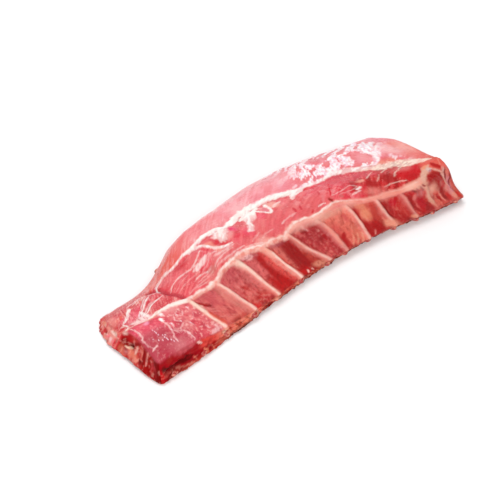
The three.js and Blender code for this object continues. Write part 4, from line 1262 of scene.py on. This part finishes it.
# Materials
def node_tree(name):
    """A new material, its nodes and their one principled shader."""
    material = bpy.data.materials.new(name)
    material.use_nodes = True
    tree = material.node_tree
    tree.nodes.clear()
    out = tree.nodes.new("ShaderNodeOutputMaterial")
    shader = tree.nodes.new("ShaderNodeBsdfPrincipled")
    tree.links.new(shader.outputs[0], out.inputs["Surface"])
    return material, tree, shader


def new(tree, kind, **settings):
    node = tree.nodes.new(kind)
    for key, value in settings.items():
        setattr(node, key, value)
    return node


def set_inputs(node, **values):
    """Sets inputs of a node; an underscore in a name stands for a space."""
    for name, value in values.items():
        node.inputs[name.replace("_", " ")].default_value = value


def connect(tree, socket, value):
    """Links another node's output to a socket, or sets the socket to a value."""
    if hasattr(value, "links"):
        tree.links.new(value, socket)
    elif value is not None:
        socket.default_value = value


def attribute(tree, name):
    return new(tree, "ShaderNodeAttribute", attribute_name=name)


def math_node(tree, operation, a, b=None, clamp=False):
    node = new(tree, "ShaderNodeMath", operation=operation, use_clamp=clamp)
    for socket, value in zip(node.inputs, (a, b)):
        connect(tree, socket, value)
    return node.outputs[0]


def times(tree, a, b):
    return math_node(tree, "MULTIPLY", a, b)


def noise_node(tree, vector, scale, detail=3.0, roughness=.55, distortion=0):
    node = new(tree, "ShaderNodeTexNoise")
    set_inputs(node, Scale=scale, Detail=detail, Roughness=roughness, Distortion=distortion)
    tree.links.new(vector, node.inputs["Vector"])
    return node.outputs[0]


def turned(tree, vector, angle, scale):
    """Coordinates scaled apart, then turned in the plane of the slab."""
    node = new(tree, "ShaderNodeMapping", vector_type="POINT")
    set_inputs(node, Rotation=(0, 0, np.radians(angle)), Scale=scale)
    tree.links.new(vector, node.inputs["Vector"])
    return node.outputs[0]


def ramp(tree, value, stops):
    """A smooth step; its stops are from low, from high, to low and to high."""
    node = new(tree, "ShaderNodeMapRange", interpolation_type="SMOOTHSTEP")
    tree.links.new(value, node.inputs["Value"])
    low, high, at_low, at_high = stops
    set_inputs(node, From_Min=low, From_Max=high, To_Min=at_low, To_Max=at_high)
    return node.outputs[0]


def mix_colour(tree, factor, a, b, blend="MIX"):
    """Mixes two colours; they enter a mix node by its sockets 6 and 7 and leave by 2."""
    node = new(tree, "ShaderNodeMix", data_type="RGBA", blend_type=blend)
    for number, value in ((0, factor), (6, a), (7, b)):
        connect(tree, node.inputs[number], value)
    return node.outputs[2]


def tinted(tree, colour, tint):
    return mix_colour(tree, 1.0, colour, tint, "MULTIPLY")


def meat_material():
    material, tree, shader = node_tree("raw_meat")
    colour = attribute(tree, "paint").outputs["Color"]
    separate = new(tree, "ShaderNodeSeparateColor")
    tree.links.new(attribute(tree, "looks").outputs["Color"], separate.inputs[0])
    fat_share, loin_share, shine_share = separate.outputs[:3]
    grain = attribute(tree, "grain").outputs["Vector"]
    fibres = noise_node(tree, turned(tree, grain, -38, (.1, 1.5, .3)), 1.0, 4.0, .6)
    loin_fibres = noise_node(tree, turned(tree, grain, -54, (.09, 1.2, .3)), 1.0, 4.0, .6)
    below_loin = times(tree, fibres, math_node(tree, "SUBTRACT", 1.0, loin_share))
    mixed = math_node(tree, "ADD", below_loin, times(tree, loin_fibres, loin_share))
    flesh = math_node(tree, "SUBTRACT", 1.0, fat_share, True)
    pale = ramp(tree, mixed, (.54, .72, 0, .45))
    dark = ramp(tree, mixed, (.46, .28, 0, .32))
    lighter = tinted(tree, colour, (1.12, 1.7, 1.6, 1))
    colour = mix_colour(tree, times(tree, pale, flesh), colour, lighter)
    darker = tinted(tree, colour, (.82, .42, .46, 1))
    colour = mix_colour(tree, times(tree, dark, flesh), colour, darker)
    mottle = noise_node(tree, grain, .28, 5.0, .62)
    mottled = tinted(tree, colour, (.84, .48, .5, 1))
    colour = mix_colour(tree, ramp(tree, mottle, (.5, .72, 0, .28)), colour, mottled)
    tree.links.new(colour, shader.inputs["Base Color"])
    rough = noise_node(tree, grain, .16, 4.0, .6)
    tree.links.new(ramp(tree, rough, (.35, .65, .26, .46)), shader.inputs["Roughness"])
    set_inputs(shader, IOR=1.42, Coat_Roughness=.12, Coat_IOR=1.36)
    set_inputs(shader, Subsurface_Weight=.22, Subsurface_Radius=(1.0, .32, .22), Subsurface_Scale=.003)
    tree.links.new(times(tree, shine_share, .25), shader.inputs["Specular IOR Level"])
    tree.links.new(times(tree, shine_share, .18), shader.inputs["Coat Weight"])
    bump = new(tree, "ShaderNodeBump")
    set_inputs(bump, Strength=.5, Distance=.0009)
    ripple = noise_node(tree, turned(tree, grain, -46, (.16, .42, .3)), 1.0, 4.0, .55, .4)
    height = math_node(tree, "ADD", times(tree, mixed, .45), ripple)
    tree.links.new(height, bump.inputs["Height"])
    tree.links.new(bump.outputs[0], shader.inputs["Normal"])
    tree.links.new(bump.outputs[0], shader.inputs["Coat Normal"])
    return material


meat.data.materials.append(meat_material())


# Rib bones
BONE_WIDTH = 10.5
BONE_THICKNESS = 6.4
BONE_PROUD = .5
SHORT_RIB_REACH = .72
CHINE_EDGE_FOR_BONE = 16.0
BONE_RINGS = 36
BONE_END_ROUNDING = 3.0
BONE_END_SHRINK = .34
BONE_CAP_SHARES = (.74, .4)
BONE_AROUND = 24
BONE_CURVE_STEPS = 24
BONE_END_RINGS = np.array((0, .15, .4, .7, 1)) * BONE_END_ROUNDING


def rib_path(station):
    """A rib's centre line through the part's own points."""
    one = np.ones(1)
    reaches = chine_z(along(station * one, one, 1.0))[0] > CHINE_EDGE_FOR_BONE
    shares = [0, .07, .17, BORDER, .45, .6, SHORT_RIB_REACH] + ([.85, 1] if reaches else [])
    shares = np.array(shares, float)
    s = np.full(len(shares), float(station))
    foot, top = foot_point(s, shares), top_point(s, shares)
    path = foot + (top - foot) * (bone_height(shares) / (top[:, 2] - foot[:, 2]))[:, None]
    path[shares == 1, 1] += CHINE_BULGE

    def beyond(a, b):
        return b + (b - a) / np.linalg.norm(b - a) * BONE_PROUD

    path[0] = beyond(path[1], path[0])
    if reaches:
        path[-1] = beyond(path[-2], path[-1])
    return path


def centripetal(path, count):
    """Points on a centripetal curve through a path, closer together at its ends."""
    p = np.concatenate((2 * path[:1] - path[1:2], path, 2 * path[-1:] - path[-2:-1]))
    out = []
    for a, b, c, d in zip(p, p[1:], p[2:], p[3:]):
        t = np.concatenate(([0], np.cumsum([np.linalg.norm(v) ** .5 for v in (b - a, c - b, d - c)])))
        for u in np.linspace(t[1], t[2], BONE_CURVE_STEPS, endpoint=False):
            ab = a + (b - a) * (u - t[0]) / (t[1] - t[0])
            bc = b + (c - b) * (u - t[1]) / (t[2] - t[1])
            cd = c + (d - c) * (u - t[2]) / (t[3] - t[2])
            e = ab + (bc - ab) * (u - t[0]) / (t[2] - t[0])
            f = bc + (cd - bc) * (u - t[1]) / (t[3] - t[1])
            out.append(e + (f - e) * (u - t[1]) / (t[2] - t[1]))
    out.append(path[-1])
    out = np.array(out)
    gone = np.concatenate(([0], np.cumsum(np.linalg.norm(np.diff(out, axis=0), axis=1))))
    close = BONE_END_RINGS
    between = np.linspace(close[-1], gone[-1] - close[-1], count - 2 * len(close) + 2)
    at = np.concatenate((close[:-1], between, gone[-1] - close[-2::-1]))
    return np.stack([np.interp(at, gone, out[:, axis]) for axis in range(3)], axis=1)


def rib_mesh(name, station):
    """A rib: oval rings along its path, with a rounded cap at each end."""
    middle = centripetal(rib_path(station), BONE_RINGS)
    tangent = np.gradient(middle, axis=0)
    tangent /= np.linalg.norm(tangent, axis=1, keepdims=True)
    lengthwise = np.array((1.0, 0, 0)) - tangent * tangent[:, :1]
    lengthwise /= np.linalg.norm(lengthwise, axis=1, keepdims=True)
    upward = np.cross(tangent, lengthwise)
    turn = np.linspace(0, 2 * np.pi, BONE_AROUND, endpoint=False)

    def ring(k, share):
        sideways = np.cos(turn)[:, None] * lengthwise[k] * BONE_WIDTH / 2
        return middle[k] + share * (sideways + np.sin(turn)[:, None] * upward[k] * BONE_THICKNESS / 2)

    rings = []
    for k in range(BONE_RINGS):
        from_end = min(np.linalg.norm(middle[k] - middle[0]), np.linalg.norm(middle[k] - middle[-1]))
        rings.append(ring(k, 1 - BONE_END_SHRINK * (1 - min(1.0, from_end / BONE_END_ROUNDING)) ** 2))
    for k in (0, BONE_RINGS - 1):
        rings += [ring(k, share * (1 - BONE_END_SHRINK)) for share in BONE_CAP_SHARES]
    verts = np.concatenate(rings + [middle[:1], middle[-1:]])

    # the rings in order from the middle of one cap to the middle of the other
    tip, butt = len(verts) - 2, len(verts) - 1
    order = [BONE_RINGS + 1, BONE_RINGS, *range(BONE_RINGS), BONE_RINGS + 2, BONE_RINGS + 3]
    here = np.arange(BONE_AROUND)
    beside = (here + 1) % BONE_AROUND
    quads = []
    for a, b in zip(order, order[1:]):
        a, b = a * BONE_AROUND, b * BONE_AROUND
        quads.append(np.stack((b + here, b + beside, a + beside, a + here), axis=1))
    caps = []
    for a, b in zip(here, beside):
        caps.append([order[0] * BONE_AROUND + a, order[0] * BONE_AROUND + b, tip])
        caps.append([butt, order[-1] * BONE_AROUND + b, order[-1] * BONE_AROUND + a])
    mesh = mesh_from(name, (verts - SLAB_MIDDLE) * MM, np.concatenate(quads), caps)
    tissue = cloud((verts + station) / 2.6, 140)
    pale = rise(tissue, .42, .6)[:, None]
    colour = linear((176, 46, 42)) * (1 - pale) + linear((226, 140, 118)) * pale
    add_colour(mesh, "paint", np.clip(colour, 0, 1))
    return mesh


def bone_material():
    material, tree, shader = node_tree("rib_bone")
    colour = attribute(tree, "paint").outputs["Color"]
    place = new(tree, "ShaderNodeTexCoord").outputs["Object"]
    mottle = noise_node(tree, place, 420.0, 4.0, .6)
    stained = tinted(tree, colour, (.8, .5, .5, 1))
    colour = mix_colour(tree, ramp(tree, mottle, (.45, .65, 0, .7)), colour, stained)
    tree.links.new(colour, shader.inputs["Base Color"])
    tree.links.new(ramp(tree, mottle, (.3, .7, .32, .55)), shader.inputs["Roughness"])
    set_inputs(shader, Subsurface_Weight=.15, Subsurface_Radius=(1.0, .5, .35), Subsurface_Scale=.002)
    set_inputs(shader, Coat_Weight=.3, Coat_Roughness=.2)
    bump = new(tree, "ShaderNodeBump")
    set_inputs(bump, Strength=.4, Distance=.0004)
    tree.links.new(mottle, bump.inputs["Height"])
    tree.links.new(bump.outputs[0], shader.inputs["Normal"])
    return material


bone_look = bone_material()
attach(meat, "root")
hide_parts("meat")
for number, rib_station in enumerate(RIB_STATIONS, 1):
    rib = bpy.data.objects.new(f"slab_rib_{number:02d}", rib_mesh(f"rib_{number:02d}", rib_station))
    bpy.context.collection.objects.link(rib)
    rib.data.materials.append(bone_look)
    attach(rib, "root")
    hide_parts(f"rib_{number:02d}")


# Floor and light
def add_floor():
    mesh = bpy.data.meshes.new("floor")
    half = 6.0
    level = -.0002
    corners = [(-half, -half, level), (half, -half, level), (half, half, level), (-half, half, level)]
    mesh.from_pydata(corners, [], [(0, 1, 2, 3)])
    floor = bpy.data.objects.new("floor", mesh)
    bpy.context.collection.objects.link(floor)
    material, _, shader = node_tree("pale_floor")
    set_inputs(shader, Base_Color=(.92, .92, .92, 1), Roughness=.8, Specular_IOR_Level=.1)
    mesh.materials.append(material)


def add_light(name, at, size, power, aim=(0, 0, .03)):
    data = bpy.data.lights.new(name, "AREA")
    data.shape = "RECTANGLE"
    data.size, data.size_y = size
    data.energy = power
    light = bpy.data.objects.new(name, data)
    light.location = at
    light.rotation_euler = (Vector(aim) - Vector(at)).to_track_quat("-Z", "Y").to_euler()
    bpy.context.collection.objects.link(light)


def add_world():
    world = bpy.data.worlds.new("studio")
    world.use_nodes = True
    set_inputs(world.node_tree.nodes["Background"], Color=(1.0, 1.0, 1.0, 1), Strength=.66)
    bpy.context.scene.world = world


add_floor()
add_world()
add_light("back_softbox", (.75, 1.35, .62), (1.3, .6), 7.0, aim=(.1, 0, .03))
add_light("top_softbox", (-.35, .25, 1.7), (1.2, 1.2), 12.0)
add_light("front_fill", (-.9, -1.6, 1.1), (1.4, 1.0), 21.0)
bpy.context.scene.view_settings.view_transform = "Standard"
